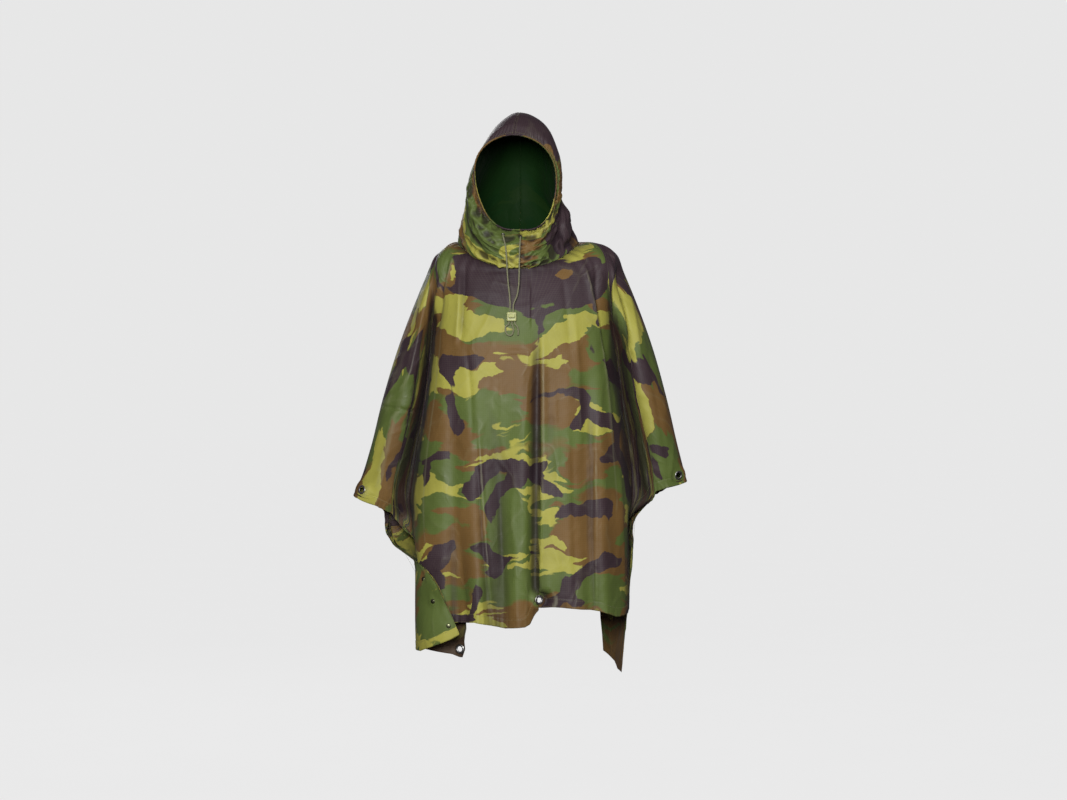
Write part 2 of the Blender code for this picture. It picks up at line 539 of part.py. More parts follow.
def build_face_hem(rim):
    """The turned hem round the face opening, a flat ring that lies just before the hood's edge."""
    middle = rim.mean(axis=0)
    forward = np.array((0.0, -1.0, 0.0))
    closed = np.vstack([rim, rim[:1]])
    lengths = np.concatenate([[0.0], np.cumsum(np.linalg.norm(np.diff(closed, axis=0), axis=1))])
    places = np.linspace(0.0, lengths[-1], FACE_HEM_STEPS, endpoint=False)
    line = np.stack([np.interp(places, lengths, closed[:, axis]) for axis in range(3)], axis=-1)
    points = []
    for place in line:
        radial = place - middle
        radial[1] = 0.0
        radial /= np.linalg.norm(radial)
        centre = place + forward * (FACE_HEM_WIDTH / 2 + FACE_HEM_AHEAD) - radial * FACE_HEM_INSET
        for corner in range(FACE_HEM_SIDES):
            turn = 2 * math.pi * corner / FACE_HEM_SIDES
            points.append(centre + forward * math.cos(turn) * FACE_HEM_WIDTH / 2
                          + radial * math.sin(turn) * FACE_HEM_THICK / 2)
    faces = ring_faces(FACE_HEM_STEPS, FACE_HEM_SIDES)
    add_object("hood_face_hem", mesh_from("hood_face_hem", points, faces), "camo_nylon")


# ---- fittings -----------------------------------------------------------------------------------
# Rings of steel in the cloth. The one at the front's tucked corner sits on its inner face.
GROMMET_COLUMNS = ("name", "x", "z", "panel", "facing", "outward")
GROMMETS = (
    ("grommet_wing_left", -0.3790, -0.5745, "front_panel", -1, 0),
    ("grommet_wing_right", 0.3795, -0.5400, "front_panel", -1, 0),
    ("grommet_hem_front", 0.0460, -0.8240, "front_panel", -1, 0),
    ("grommet_corner_front_left", -0.1400, -0.9440, "front_panel", -1, 1),
    ("grommet_hem_back", 0.0060, -0.8260, "back_panel", 1, 0),
)
# Snaps lie on the lap; eyelets on the bunched front of the hood. Columns are name, x and z.
SNAPS = (
    ("snap_left_top", -0.2240, -0.7760),
    ("snap_left_middle", -0.2000, -0.8260),
    ("snap_left_low", -0.1640, -0.8820),
)
EYELETS = (
    ("chin_eyelet_left", -0.0390, 0.0270),
    ("chin_eyelet_right", 0.0020, 0.0215),
)

# Drawcord, by hand: straight out of each chin eyelet, down over the bunched collar to the lock,
# a loop below it and a short tail. Columns are x, y and z.
CORDS = {
    "drawcord_left": (
        (-0.0390, -0.1262, 0.0270), (-0.0388, -0.1335, 0.0258), (-0.0380, -0.1380, 0.0200),
        (-0.0345, -0.1425, 0.0060), (-0.0318, -0.1440, -0.0120), (-0.0302, -0.1440, -0.0380),
        (-0.0285, -0.1440, -0.0660), (-0.0262, -0.1448, -0.0920), (-0.0235, -0.1460, -0.1150),
        (-0.0222, -0.1478, -0.1360), (-0.0222, -0.1476, -0.1548)),
    "drawcord_right": (
        (0.0020, -0.1290, 0.0215), (0.0020, -0.1360, 0.0203), (0.0016, -0.1400, 0.0145),
        (0.0006, -0.1430, 0.0010), (-0.0002, -0.1440, -0.0180), (-0.0006, -0.1440, -0.0440),
        (-0.0014, -0.1440, -0.0720), (-0.0026, -0.1448, -0.0960), (-0.0066, -0.1460, -0.1180),
        (-0.0140, -0.1478, -0.1370), (-0.0150, -0.1476, -0.1548)),
    "drawcord_loop": (
        (-0.0240, -0.1476, -0.1776), (-0.0262, -0.1484, -0.1838), (-0.0318, -0.1490, -0.1880),
        (-0.0330, -0.1500, -0.1980), (-0.0280, -0.1510, -0.2080), (-0.0200, -0.1510, -0.2095),
        (-0.0150, -0.1500, -0.2010), (-0.0152, -0.1490, -0.1900), (-0.0176, -0.1484, -0.1838),
        (-0.0180, -0.1476, -0.1776)),
    "drawcord_tail": (
        (-0.0120, -0.1476, -0.1776), (-0.0098, -0.1486, -0.1838), (-0.0052, -0.1500, -0.1900),
        (-0.0032, -0.1512, -0.1990), (-0.0036, -0.1520, -0.2090)),
}


def tree_of(points):
    triangles = grid_triangles(*points.shape[:2])
    return BVHTree.FromPolygons([Vector(point) for point in points.reshape(-1, 3)], triangles)


def place_on(tree, x, z, facing):
    """The outermost place of a surface at x and z, and the direction out of it."""
    spot, normal, _, _ = tree.ray_cast(Vector((x, facing * 2.0, z)), Vector((0.0, -facing, 0.0)))
    if normal.y * facing < 0:
        normal = -normal
    return spot, normal


def seat_on(tree, spot, normal, radius):
    """Where a flat round fitting rests on the cloth: over the highest place under it."""
    turn = normal.to_track_quat("Z", "Y")
    height = 0.0
    for out in SEAT_RINGS:
        for step in range(SEAT_SPOTS):
            angle = 2 * math.pi * step / SEAT_SPOTS
            beside = turn @ Vector((out * radius * math.cos(angle), out * radius * math.sin(angle), 0.0))
            found = tree.ray_cast(spot + beside + normal * SEAT_REACH, -normal)[0]
            if found is not None:
                height = max(height, (found - spot).dot(normal))
    return spot + normal * (height + SEAT)


def ring_mesh(name, hole, outer, half_height, sides):
    """A ring turned round Z with softly rounded faces."""
    middle = (hole + outer) / 2
    profile = ((hole, 0.55 * half_height), (middle, half_height), (outer, 0.45 * half_height),
               (outer, -0.45 * half_height), (middle, -half_height), (hole, -0.55 * half_height))
    turns = [2 * math.pi * side / sides for side in range(sides)]
    points = [(radius * math.cos(turn), radius * math.sin(turn), height)
              for turn in turns for radius, height in profile]
    return mesh_from(name, points, ring_faces(sides, len(profile)))


def set_on(thing, spot, normal):
    thing.matrix_world = normal.to_track_quat("Z", "Y").to_matrix().to_4x4()
    thing.location = spot


def cut_hole(panel, name, spot, normal):
    """A round hole through one layer of cloth for the ring."""
    plug = bmesh.new()
    bmesh.ops.create_cone(plug, cap_ends=True, segments=CUT_SIDES, radius1=GROMMET_CUT, radius2=GROMMET_CUT,
                          depth=2 * CUT_DEPTH)
    mesh = bpy.data.meshes.new(name + "_cutter")
    plug.to_mesh(mesh)
    plug.free()
    cutter = bpy.data.objects.new(name + "_cutter", mesh)
    bpy.context.scene.collection.objects.link(cutter)
    set_on(cutter, spot, normal)
    cutter.hide_render = True
    cutter.display_type = "WIRE"
    hole = panel.modifiers.new(name, "BOOLEAN")
    hole.operation = "DIFFERENCE"
    hole.solver = "EXACT"
    hole.object = cutter


def build_grommets(panels, trees):
    for row in GROMMETS:
        ring = dict(zip(GROMMET_COLUMNS, row))
        spot, normal = place_on(trees[ring["panel"]], ring["x"], ring["z"], ring["facing"])
        middle = spot + normal * (ring["outward"] - 0.5) * CLOTH
        cut_hole(panels[ring["panel"]], ring["name"], middle, normal)
        mesh = ring_mesh(ring["name"], GROMMET_HOLE, GROMMET_OUTER, GROMMET_HALF_HEIGHT, GROMMET_SIDES)
        set_on(add_object(ring["name"], mesh, "grommet_steel"), middle, normal)


def build_eyelets(hood_trees):
    for name, x, z in EYELETS:
        tree = hood_trees[0] if x < 0 else hood_trees[1]
        spot, normal = place_on(tree, x, z, -1.0)
        mesh = ring_mesh(name, EYELET_HOLE, EYELET_OUTER, EYELET_HALF_HEIGHT, EYELET_SIDES)
        seat = seat_on(tree, spot, normal, EYELET_OUTER)
        set_on(add_object(name, mesh, "grommet_steel"), seat + normal * EYELET_HALF_HEIGHT, normal)


def build_snaps(lap_tree):
    for name, x, z in SNAPS:
        spot, normal = place_on(lap_tree, x, z, -1.0)
        seat = seat_on(lap_tree, spot, normal, SNAP_RADIUS)
        cap = bmesh.new()
        bmesh.ops.create_cone(cap, cap_ends=True, segments=SNAP_SIDES, radius1=SNAP_RADIUS,
                              radius2=SNAP_RADIUS * SNAP_TAPER, depth=SNAP_HEIGHT)
        mesh = bpy.data.meshes.new(name)
        cap.to_mesh(mesh)
        cap.free()
        mesh.shade_smooth()
        mesh.set_sharp_from_angle(angle=SHARP_ANGLE)
        set_on(add_object(name, mesh, "snap_brass"), seat + normal * SNAP_HEIGHT / 2, normal)


def cord_line(route):
    """Even points along a smooth curve through the route."""
    route = np.array(route)
    knots = np.concatenate([[0.0], np.cumsum(np.linalg.norm(np.diff(route, axis=0), axis=1))])
    count = max(4, int(round(knots[-1] / CORD_STEP)))
    places = np.linspace(0.0, knots[-1], count + 1)
    return np.stack([curve_through(knots, route[:, axis], places) for axis in range(3)], axis=-1)


def build_cords():
    for name, route in CORDS.items():
        line = cord_line(route)
        curve = bpy.data.curves.new(name, "CURVE")
        curve.dimensions = "3D"
        curve.bevel_depth = CORD_RADIUS
        curve.bevel_resolution = 2
        curve.use_fill_caps = True
        spline = curve.splines.new("POLY")
        spline.points.add(len(line) - 1)
        for point, place in zip(spline.points, line):
            point.co = (*place, 1.0)
        add_object(name, curve, "olive_cord")


def block_mesh(name, size, round_edge):
    """A block with rounded edges."""
    block = bmesh.new()
    bmesh.ops.create_cube(block, size=1.0)
    bmesh.ops.scale(block, vec=size, verts=block.verts)
    bmesh.ops.bevel(block, geom=list(block.edges), offset=round_edge, segments=2, profile=0.5, affect="EDGES")
    mesh = bpy.data.meshes.new(name)
    block.to_mesh(mesh)
    block.free()
    mesh.shade_smooth()
    mesh.set_sharp_from_angle(angle=SHARP_ANGLE)
    return mesh


def build_lock():
    body = add_object("cord_lock", block_mesh("cord_lock", LOCK_BODY, LOCK_BODY_ROUND), "lock_plastic")
    body.location = LOCK_PLACE
    pusher = block_mesh("cord_lock_button", LOCK_BUTTON, LOCK_BUTTON_ROUND)
    button = add_object("cord_lock_button", pusher, "lock_plastic")
    ahead = (LOCK_BODY[1] + LOCK_BUTTON[1]) / 2 + SEAM
    button.location = (LOCK_PLACE[0], LOCK_PLACE[1] - ahead, LOCK_PLACE[2] + LOCK_BUTTON_RAISED)


# ---- the whole ----------------------------------------------------------------------------------
def main():
    for thing in list(bpy.data.objects):
        bpy.data.objects.remove(thing, do_unlink=True)
    front, front_points = build_panel("front_panel", FRONT_SECTIONS, FRONT_EDGE, FRONT_FOLDS)
    back, back_points = build_panel("back_panel", BACK_SECTIONS, BACK_EDGE, BACK_FOLDS)
    trees = {"front_panel": tree_of(front_points), "back_panel": tree_of(back_points)}
    rim, hood_trees = build_hood()
    build_face_hem(rim)
    build_grommets({"front_panel": front, "back_panel": back}, trees)
    build_eyelets(hood_trees)
    build_snaps(trees["back_panel"])
    build_cords()
    build_lock()


main()
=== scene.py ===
"""Hooded rain poncho, worn: its cloth, hems, stitches and fittings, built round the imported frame.

Metres, +Z up. The front of the garment faces -Y, and left and right are as seen from the front.
Run as a script, it builds everything. Registered, it lists each step in the 3D view's sidebar.
"""
import math

import bmesh
import bpy
import numpy as np
from bpy.props import FloatProperty, FloatVectorProperty, IntProperty, PointerProperty
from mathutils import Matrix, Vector
from mathutils.kdtree import KDTree


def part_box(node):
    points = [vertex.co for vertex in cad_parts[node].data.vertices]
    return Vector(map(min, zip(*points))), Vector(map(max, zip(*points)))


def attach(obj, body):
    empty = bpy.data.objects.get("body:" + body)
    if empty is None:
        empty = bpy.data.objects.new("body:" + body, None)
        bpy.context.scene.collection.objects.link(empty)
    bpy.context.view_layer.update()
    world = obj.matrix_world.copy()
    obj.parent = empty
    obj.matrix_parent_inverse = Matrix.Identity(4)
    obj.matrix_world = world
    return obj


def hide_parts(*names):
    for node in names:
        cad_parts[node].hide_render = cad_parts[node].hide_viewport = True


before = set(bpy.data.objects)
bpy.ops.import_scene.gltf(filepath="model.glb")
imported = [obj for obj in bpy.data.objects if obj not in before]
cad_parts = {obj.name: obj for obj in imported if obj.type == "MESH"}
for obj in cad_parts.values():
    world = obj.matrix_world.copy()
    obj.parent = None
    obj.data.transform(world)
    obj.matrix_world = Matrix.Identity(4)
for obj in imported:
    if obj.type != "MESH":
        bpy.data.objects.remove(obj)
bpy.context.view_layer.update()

bl_info = {
    "name": "Rain poncho",
    "version": (1, 0, 0),
    "blender": (4, 5, 0),
    "location": "3D View > Sidebar > Poncho",
    "description": "Builds a worn, hooded rain poncho with its hems, stitches, grommets and drawcord",
    "category": "Object",
}

# ---- shape of the cloth -------------------------------------------------------------------------
NECK_HALF_WIDTH = 0.1445
NECK_MIDDLE_X = -0.0045
NECK_FRONT = 0.116
NECK_BACK = 0.106
NECK_SIDE_Z = 0.019
NECK_FRONT_DIP = 0.071
NECK_BACK_RISE = 0.014
NECK_CURVE = 1.5
BODY_MIDDLE_Z = -0.4
SHOULDER_TURN = 0.12

# One row for each height. ridge: line along the top of the arm, where front meets back.
# lip: inner edge of the arm wing. valley: floor of the fold beside the body. body: side of the body.
SECTION_COLUMNS = ("z", "ridge_l", "lip_l", "valley_l", "body_l", "body_r", "valley_r", "lip_r", "ridge_r",
                   "wing_y", "lip_y", "valley_y", "body_y")
FRONT_SECTIONS = (
    (-0.055, -0.222, -0.208, -0.196, -0.178, 0.190, 0.206, 0.222, 0.250, -0.040, -0.058, -0.075, -0.118),
    (-0.120, -0.249, -0.214, -0.202, -0.190, 0.198, 0.212, 0.228, 0.277, -0.066, -0.066, -0.040, -0.134),
    (-0.240, -0.294, -0.224, -0.212, -0.202, 0.210, 0.229, 0.248, 0.320, -0.076, -0.062, 0.016, -0.150),
    (-0.360, -0.330, -0.240, -0.226, -0.216, 0.220, 0.242, 0.264, 0.353, -0.074, -0.056, 0.026, -0.156),
    (-0.480, -0.360, -0.266, -0.246, -0.232, 0.232, 0.258, 0.292, 0.381, -0.058, -0.046, 0.026, -0.160),
    (-0.554, -0.384, -0.284, -0.256, -0.238, 0.240, 0.264, 0.302, 0.401, -0.034, -0.040, 0.022, -0.163),
    (-0.592, -0.402, -0.286, -0.260, -0.240, 0.243, 0.264, 0.300, 0.414, -0.024, -0.030, 0.010, -0.165),
    (-0.640, -0.424, -0.274, -0.254, -0.240, 0.244, 0.258, 0.264, 0.430, -0.018, -0.006, 0.000, -0.167),
    (-0.700, -0.440, -0.246, -0.252, -0.238, 0.244, 0.256, 0.260, 0.440, -0.014, -0.030, -0.045, -0.169),
    (-0.760, -0.440, -0.190, -0.250, -0.226, 0.245, 0.256, 0.260, 0.440, -0.014, -0.076, -0.060, -0.171),
    (-0.840, -0.440, -0.126, -0.250, -0.220, 0.245, 0.257, 0.261, 0.440, -0.014, -0.112, -0.066, -0.173),
    (-0.980, -0.440, -0.118, -0.250, -0.216, 0.246, 0.258, 0.262, 0.440, -0.014, -0.120, -0.070, -0.176),
)
BACK_SECTIONS = (
    (-0.055, -0.222, -0.208, -0.196, -0.178, 0.190, 0.206, 0.222, 0.250, 0.040, 0.066, 0.082, 0.116),
    (-0.120, -0.249, -0.214, -0.202, -0.184, 0.190, 0.212, 0.228, 0.277, 0.062, 0.074, 0.086, 0.132),
    (-0.240, -0.294, -0.226, -0.208, -0.190, 0.196, 0.224, 0.246, 0.320, 0.070, 0.074, 0.078, 0.140),
    (-0.360, -0.330, -0.248, -0.220, -0.198, 0.204, 0.234, 0.266, 0.353, 0.072, 0.068, 0.064, 0.142),
    (-0.480, -0.360, -0.280, -0.240, -0.208, 0.214, 0.246, 0.298, 0.381, 0.066, 0.062, 0.058, 0.146),
    (-0.554, -0.384, -0.300, -0.254, -0.216, 0.222, 0.256, 0.306, 0.401, 0.046, 0.056, 0.056, 0.150),
    (-0.592, -0.402, -0.308, -0.262, -0.222, 0.226, 0.262, 0.304, 0.414, 0.034, 0.050, 0.056, 0.152),
    (-0.640, -0.424, -0.308, -0.266, -0.226, 0.228, 0.262, 0.278, 0.430, 0.030, 0.044, 0.054, 0.155),
    (-0.700, -0.440, -0.300, -0.266, -0.228, 0.228, 0.262, 0.270, 0.440, 0.026, 0.030, 0.050, 0.158),
    (-0.760, -0.440, -0.204, -0.262, -0.226, 0.226, 0.260, 0.266, 0.440, 0.020, -0.170, -0.110, 0.162),
    (-0.840, -0.440, -0.166, -0.262, -0.224, 0.222, 0.254, 0.258, 0.440, 0.020, -0.186, -0.150, 0.167),
    (-1.020, -0.440, -0.080, -0.262, -0.222, 0.214, 0.238, 0.242, 0.440, 0.020, -0.206, -0.160, 0.174),
)
# The left side's fold, where the back's lower corner laps round onto the front.
LAP_COLUMNS = ("z", "side_x", "side_y", "turn_x", "turn_y", "edge_x", "edge_y")
LAPS = {
    "front_panel": (
        (-0.700, -0.236, -0.125, -0.250, -0.050, -0.244, -0.024),
        (-0.760, -0.226, -0.128, -0.250, -0.070, -0.186, -0.084),
        (-0.840, -0.220, -0.130, -0.250, -0.080, -0.124, -0.116),
        (-0.980, -0.216, -0.130, -0.250, -0.084, -0.116, -0.126),
    ),
    "back_panel": (
        (-0.700, -0.230, 0.110, -0.262, 0.045, -0.298, 0.026),
        (-0.760, -0.236, 0.050, -0.258, -0.110, -0.206, -0.170),
        (-0.840, -0.236, 0.040, -0.262, -0.150, -0.153, -0.190),
        (-1.020, -0.236, 0.040, -0.262, -0.160, -0.056, -0.208),
    ),
}
CUFF_END = {"front_panel": (-0.66, -0.61), "back_panel": (-0.73, -0.61)}
EDGE_LEFTOVER = 0.12
RIGHT_TURN_Y = 0.030
RIGHT_EDGE_Y = 0.0006
# Stations across a section: 0 and 14 are the arm ridges, 3 and 11 the wing lips, 4 and 10 the
# valleys, 5 and 9 the sides of the body, 7 its middle.
LAST_STATION = 14
MIDDLE_STATION = 7
LEFT_LIP, LEFT_VALLEY, LEFT_SIDE = 3, 4, 5
RIGHT_SIDE, RIGHT_VALLEY, RIGHT_LIP = 9, 10, 11
NECK_STATIONS = 3.0
RIDGE_STEP = 0.008
RIDGE_DEPTH = 0.55
WING_MIDDLE = 0.55
CHEST_STEP = 0.24
SIDE_DEPTH = 0.74
CHEST_DEPTH = 0.97
# Columns of the mesh: from a station, in so many steps, up to the next.
COLUMN_RUNS = ((0.0, 6), (1.0, 6), (2.0, 8), (2.6, 20), (3.0, 16), (4.0, 16), (5.0, 34), (6.0, 34), (7.0, 8),
               (7.15, 8), (7.3, 20), (8.0, 22), (8.8, 6), (9.0, 16), (10.0, 14), (11.0, 20), (11.4, 10),
               (12.0, 10), (13.0, 8), (14.0, 0))
EDGE_COLUMNS = ("station", "z")
FRONT_EDGE = (
    (0.0, -0.588), (1.0, -0.596), (2.0, -0.612), (2.6, -0.632), (3.0, -0.961), (4.0, -0.946),
    (5.0, -0.915), (5.4, -0.882), (6.0, -0.876), (6.6, -0.890), (7.0, -0.886), (7.1, -0.880),
    (7.2, -0.860), (7.3, -0.838), (8.0, -0.845), (8.5, -0.852), (9.0, -0.868), (10.0, -0.866),
    (11.0, -0.860), (11.4, -0.578), (12.0, -0.568), (13.0, -0.560), (14.0, -0.554),
)
BACK_EDGE = (
    (0.0, -0.588), (1.0, -0.594), (2.0, -0.606), (2.3, -0.610), (2.6, -0.630), (2.8, -0.690),
    (3.0, -0.902), (4.0, -0.946), (5.0, -0.950), (6.0, -0.880), (7.0, -0.851), (8.0, -0.850),
    (8.8, -0.858), (9.0, -0.975), (10.0, -1.010), (11.0, -1.014), (11.4, -0.590), (12.0, -0.573),
    (13.0, -0.562), (14.0, -0.554),
)
SHOULDER_COLUMNS = ("station", "x", "z")
SHOULDER_LEFT = ((0.0, -0.222, -0.055), (1.0, -0.213, -0.034), (2.0, -0.196, -0.016), (3.0, -0.173, 0.002),
                 (4.0, -0.149, NECK_SIDE_Z))
SHOULDER_RIGHT = ((10.0, 0.140, NECK_SIDE_Z), (11.0, 0.168, 0.018), (12.0, 0.200, 0.007),
                  (13.0, 0.232, -0.014), (14.0, 0.250, -0.055))
FOLD_COLUMNS = ("top_x", "top_z", "low_x", "low_z", "half_width", "height")
FOLD_START = 0.33
FOLD_TOP = 0.6
LOOSE_AFTER = 0.2
FRONT_FOLDS = (
    (0.018, -0.22, 0.010, -0.92, 0.030, 0.016),
    (0.046, -0.22, 0.044, -0.92, 0.014, -0.016),
    (-0.110, -0.20, -0.092, -0.92, 0.026, 0.010),
    (-0.052, -0.34, -0.036, -0.92, 0.022, -0.008),
    (-0.158, -0.16, -0.150, -0.92, 0.020, -0.010),
    (0.112, -0.16, 0.126, -0.92, 0.026, 0.010),
    (0.152, -0.20, 0.166, -0.92, 0.016, -0.012),
    (0.186, -0.06, 0.200, -0.92, 0.018, 0.012),
    (-0.286, -0.16, -0.338, -0.60, 0.022, 0.006),
    (0.306, -0.16, 0.352, -0.58, 0.022, 0.006),
)
BACK_FOLDS = (
    (-0.120, -0.14, -0.135, -1.00, 0.028, 0.012),
    (-0.060, -0.20, -0.070, -1.00, 0.024, -0.010),
    (0.010, -0.12, 0.020, -1.00, 0.032, 0.012),
    (0.080, -0.20, 0.088, -1.00, 0.024, -0.010),
    (0.140, -0.14, 0.156, -1.00, 0.026, 0.012),
)
HEM_WAVE = 0.005
HEM_WAVE_LENGTH = 0.085
HEM_WAVE_REACH = 0.16
HEM_WAVE_STATIONS = 2.0

# ---- creases, placed one by one -----------------------------------------------------------------
# From one end to the other. kind: ridge stands out, trough sinks in, drop steps down to its right
# (or below it), tuck sinks slowly from its left and comes up sharply. bow: how far its middle lies
# to one side of the straight line.
CREASE_COLUMNS = ("kind", "x1", "z1", "x2", "z2", "half_width", "height", "bow")
# Steep creases, in half widths: which way they go, the reach of their slow and their sharp side,
# then share, place and width of the lip beside the sharp one.
STEEP_CREASES = {"drop": (1, 3.2, 0.4, 0.45, 1.0, 0.7), "tuck": (-1, 2.8, 0.35, 0.5, 0.9, 0.8)}
CREASE_ROUND = 1.4
# Shares of a crease's length over which it starts and stops.
CREASE_START = (-0.1, 0.22)
CREASE_STOP = (1.1, 0.8)
FRONT_CREASES = (
    ("tuck", 0.0455, -0.225, 0.0378, -0.880, 0.0100, 0.0120, 0.003),
    ("tuck", -0.0988, -0.440, -0.0663, -0.890, 0.0055, 0.0055, -0.002),
    ("trough", -0.0880, -0.470, -0.0650, -0.900, 0.0090, 0.0036, 0.000),
    ("trough", -0.1244, -0.235, -0.1105, -0.453, 0.0060, 0.0034, 0.003),
    ("trough", -0.1460, -0.640, -0.1250, -0.900, 0.0180, 0.0080, 0.000),
    ("ridge", 0.1288, -0.160, 0.1404, -0.476, 0.0070, 0.0040, 0.003),
    ("ridge", 0.1544, -0.400, 0.1683, -0.880, 0.0130, 0.0060, 0.002),
    ("trough", 0.1240, -0.420, 0.1320, -0.880, 0.0120, 0.0050, 0.000),
    ("ridge", 0.1520, -0.040, 0.1938, -0.2206, 0.0050, 0.0060, 0.002),
    ("ridge", 0.1938, -0.200, 0.2147, -0.4700, 0.0050, 0.0050, 0.001),
    ("trough", 0.1780, -0.040, 0.2230, -0.3300, 0.0090, 0.0130, -0.004),
    ("ridge", 0.2144, -0.030, 0.2300, -0.2000, 0.0060, 0.0080, 0.002),
    ("trough", 0.2350, -0.030, 0.2480, -0.2400, 0.0080, 0.0120, 0.000),
    ("ridge", 0.1790, -0.440, 0.1806, -0.8700, 0.0032, 0.0034, -0.001),
    ("ridge", 0.2350, -0.520, 0.2470, -0.8500, 0.0050, 0.0034, 0.002),
    ("trough", -0.0850, -0.0600, -0.0120, -0.0620, 0.0030, 0.0022, 0.002),
    ("ridge", -0.0400, -0.2500, 0.0340, -0.2520, 0.0036, 0.0022, 0.003),
    ("drop", 0.0243, -0.0850, 0.0243, -0.1900, 0.0040, 0.0024, 0.000),
    ("ridge", -0.0760, -0.4700, -0.0310, -0.5240, 0.0034, 0.0018, 0.002),
    ("ridge", -0.1546, -0.0150, -0.1830, -0.1200, 0.0050, 0.0060, -0.002),
    ("trough", -0.1660, -0.0200, -0.1990, -0.2000, 0.0070, 0.0100, -0.002),
    ("ridge", -0.1871, -0.0700, -0.2050, -0.1700, 0.0045, 0.0050, 0.000),
    ("ridge", -0.1420, -0.0600, -0.1500, -0.2300, 0.0060, 0.0040, 0.004),
    ("trough", -0.1300, -0.0300, -0.1380, -0.2300, 0.0070, 0.0060, 0.003),
    ("ridge", -0.0600, -0.1300, -0.1080, -0.2300, 0.0060, 0.0022, 0.004),
    ("trough", 0.1000, -0.0700, 0.1180, -0.2400, 0.0070, 0.0030, 0.002),
    ("ridge", 0.0800, -0.3300, 0.0900, -0.6400, 0.0080, 0.0024, 0.003),
    ("ridge", -0.0200, -0.6000, -0.0050, -0.8800, 0.0090, 0.0030, 0.002),
    ("trough", -0.0460, -0.5600, -0.0300, -0.8800, 0.0080, 0.0032, -0.002),
    ("ridge", 0.0700, -0.7000, 0.1000, -0.7600, 0.0040, 0.0018, 0.002),
    ("trough", -0.2380, -0.3860, -0.3300, -0.3740, 0.0028, 0.0050, 0.002),
    ("trough", -0.2400, -0.1000, -0.3500, -0.5300, 0.0150, 0.0050, 0.006),
    ("ridge", -0.2300, -0.1500, -0.2700, -0.3300, 0.0060, 0.0036, 0.003),
    ("ridge", -0.3000, -0.4000, -0.3380, -0.5600, 0.0060, 0.0028, 0.002),
    ("trough", 0.3033, -0.1900, 0.3560, -0.5300, 0.0130, 0.0046, -0.004),
    ("ridge", 0.2790, -0.4400, 0.3057, -0.5700, 0.0045, 0.0040, 0.000),
    ("ridge", 0.3672, -0.4500, 0.3577, -0.5620, 0.0034, 0.0022, 0.000),
    ("ridge", 0.2560, -0.0900, 0.2860, -0.2600, 0.0060, 0.0040, 0.002),
    ("ridge", 0.3200, -0.2600, 0.3500, -0.4000, 0.0060, 0.0030, 0.003),
)
BACK_CREASES = (
    ("drop", -0.0200, -0.1500, -0.0300, -0.9800, 0.0110, 0.0110, 0.004),
    ("ridge", -0.1050, -0.1800, -0.1160, -0.9800, 0.0060, 0.0040, 0.003),
    ("trough", -0.0860, -0.3000, -0.0950, -0.9800, 0.0090, 0.0050, 0.000),
    ("ridge", 0.0600, -0.2000, 0.0700, -0.9600, 0.0070, 0.0044, -0.003),
    ("trough", 0.0920, -0.2600, 0.1050, -0.9600, 0.0090, 0.0050, 0.002),
    ("ridge", 0.1500, -0.1000, 0.1700, -0.9900, 0.0060, 0.0044, 0.004),
    ("ridge", -0.1700, -0.0500, -0.2000, -0.5000, 0.0060, 0.0050, 0.004),
    ("trough", -0.1560, -0.0500, -0.1800, -0.4400, 0.0070, 0.0056, 0.003),
    ("ridge", 0.1760, -0.0500, 0.2100, -0.5200, 0.0060, 0.0050, 0.003),
    ("trough", 0.1620, -0.0500, 0.1900, -0.4600, 0.0070, 0.0056, 0.003),
    ("ridge", -0.0700, -0.3500, 0.0200, -0.3600, 0.0040, 0.0022, 0.004),
    ("trough", -0.2500, -0.1200, -0.3400, -0.5200, 0.0140, 0.0050, 0.004),
    ("ridge", -0.2900, -0.3000, -0.3300, -0.5000, 0.0060, 0.0030, 0.002),
    ("trough", 0.2700, -0.1200, 0.3500, -0.5200, 0.0140, 0.0050, -0.004),
    ("ridge", 0.3000, -0.2800, 0.3300, -0.4800, 0.0060, 0.0030, 0.002),
    ("ridge", -0.2200, -0.7800, -0.1560, -0.9300, 0.0050, 0.0020, 0.000),
    ("ridge", -0.1500, -0.6000, 0.0300, -0.6100, 0.0040, 0.0020, 0.004),
)
# Small gathers at an edge: which stations, how high, how long each wave is and how far in they run.
RUFFLE_COLUMNS = ("from_station", "to_station", "height", "wave", "reach")
FRONT_HEM_RUFFLES = (
    (1.6, 3.1, 0.0034, 0.013, 0.040),
    (4.2, 6.9, 0.0022, 0.012, 0.045),
    (7.3, 9.9, 0.0010, 0.017, 0.028),
    (10.9, 12.4, 0.0018, 0.013, 0.032),
)
BACK_HEM_RUFFLES = (
    (1.6, 2.5, 0.0030, 0.014, 0.036),
    (3.0, 5.0, 0.0010, 0.012, 0.026),
    (5.0, 9.0, 0.0018, 0.015, 0.036),
    (11.0, 12.4, 0.0030, 0.013, 0.032),
)
FRONT_NECK_GATHERS = (
    (4.1, 5.9, 0.0012, 0.023, 0.085),
    (5.9, 8.2, 0.0007, 0.027, 0.030),
    (8.2, 9.9, 0.0014, 0.025, 0.090),
)
BACK_NECK_GATHERS = (
    (4.1, 6.0, 0.0022, 0.023, 0.090),
    (6.0, 8.0, 0.0012, 0.027, 0.060),
    (8.0, 9.9, 0.0022, 0.024, 0.090),
)
# How uneven gathers are in phase, height and reach: mean, spread, rate, row and seed of the noise.
GATHER_NOISE = ((0.0, 0.55, 0.6, 0.0, 0), (0.65, 0.5, 0.45, 9.5, 1), (0.8, 0.5, 0.7, 3.5, 2))
GATHER_FALL = 1.3

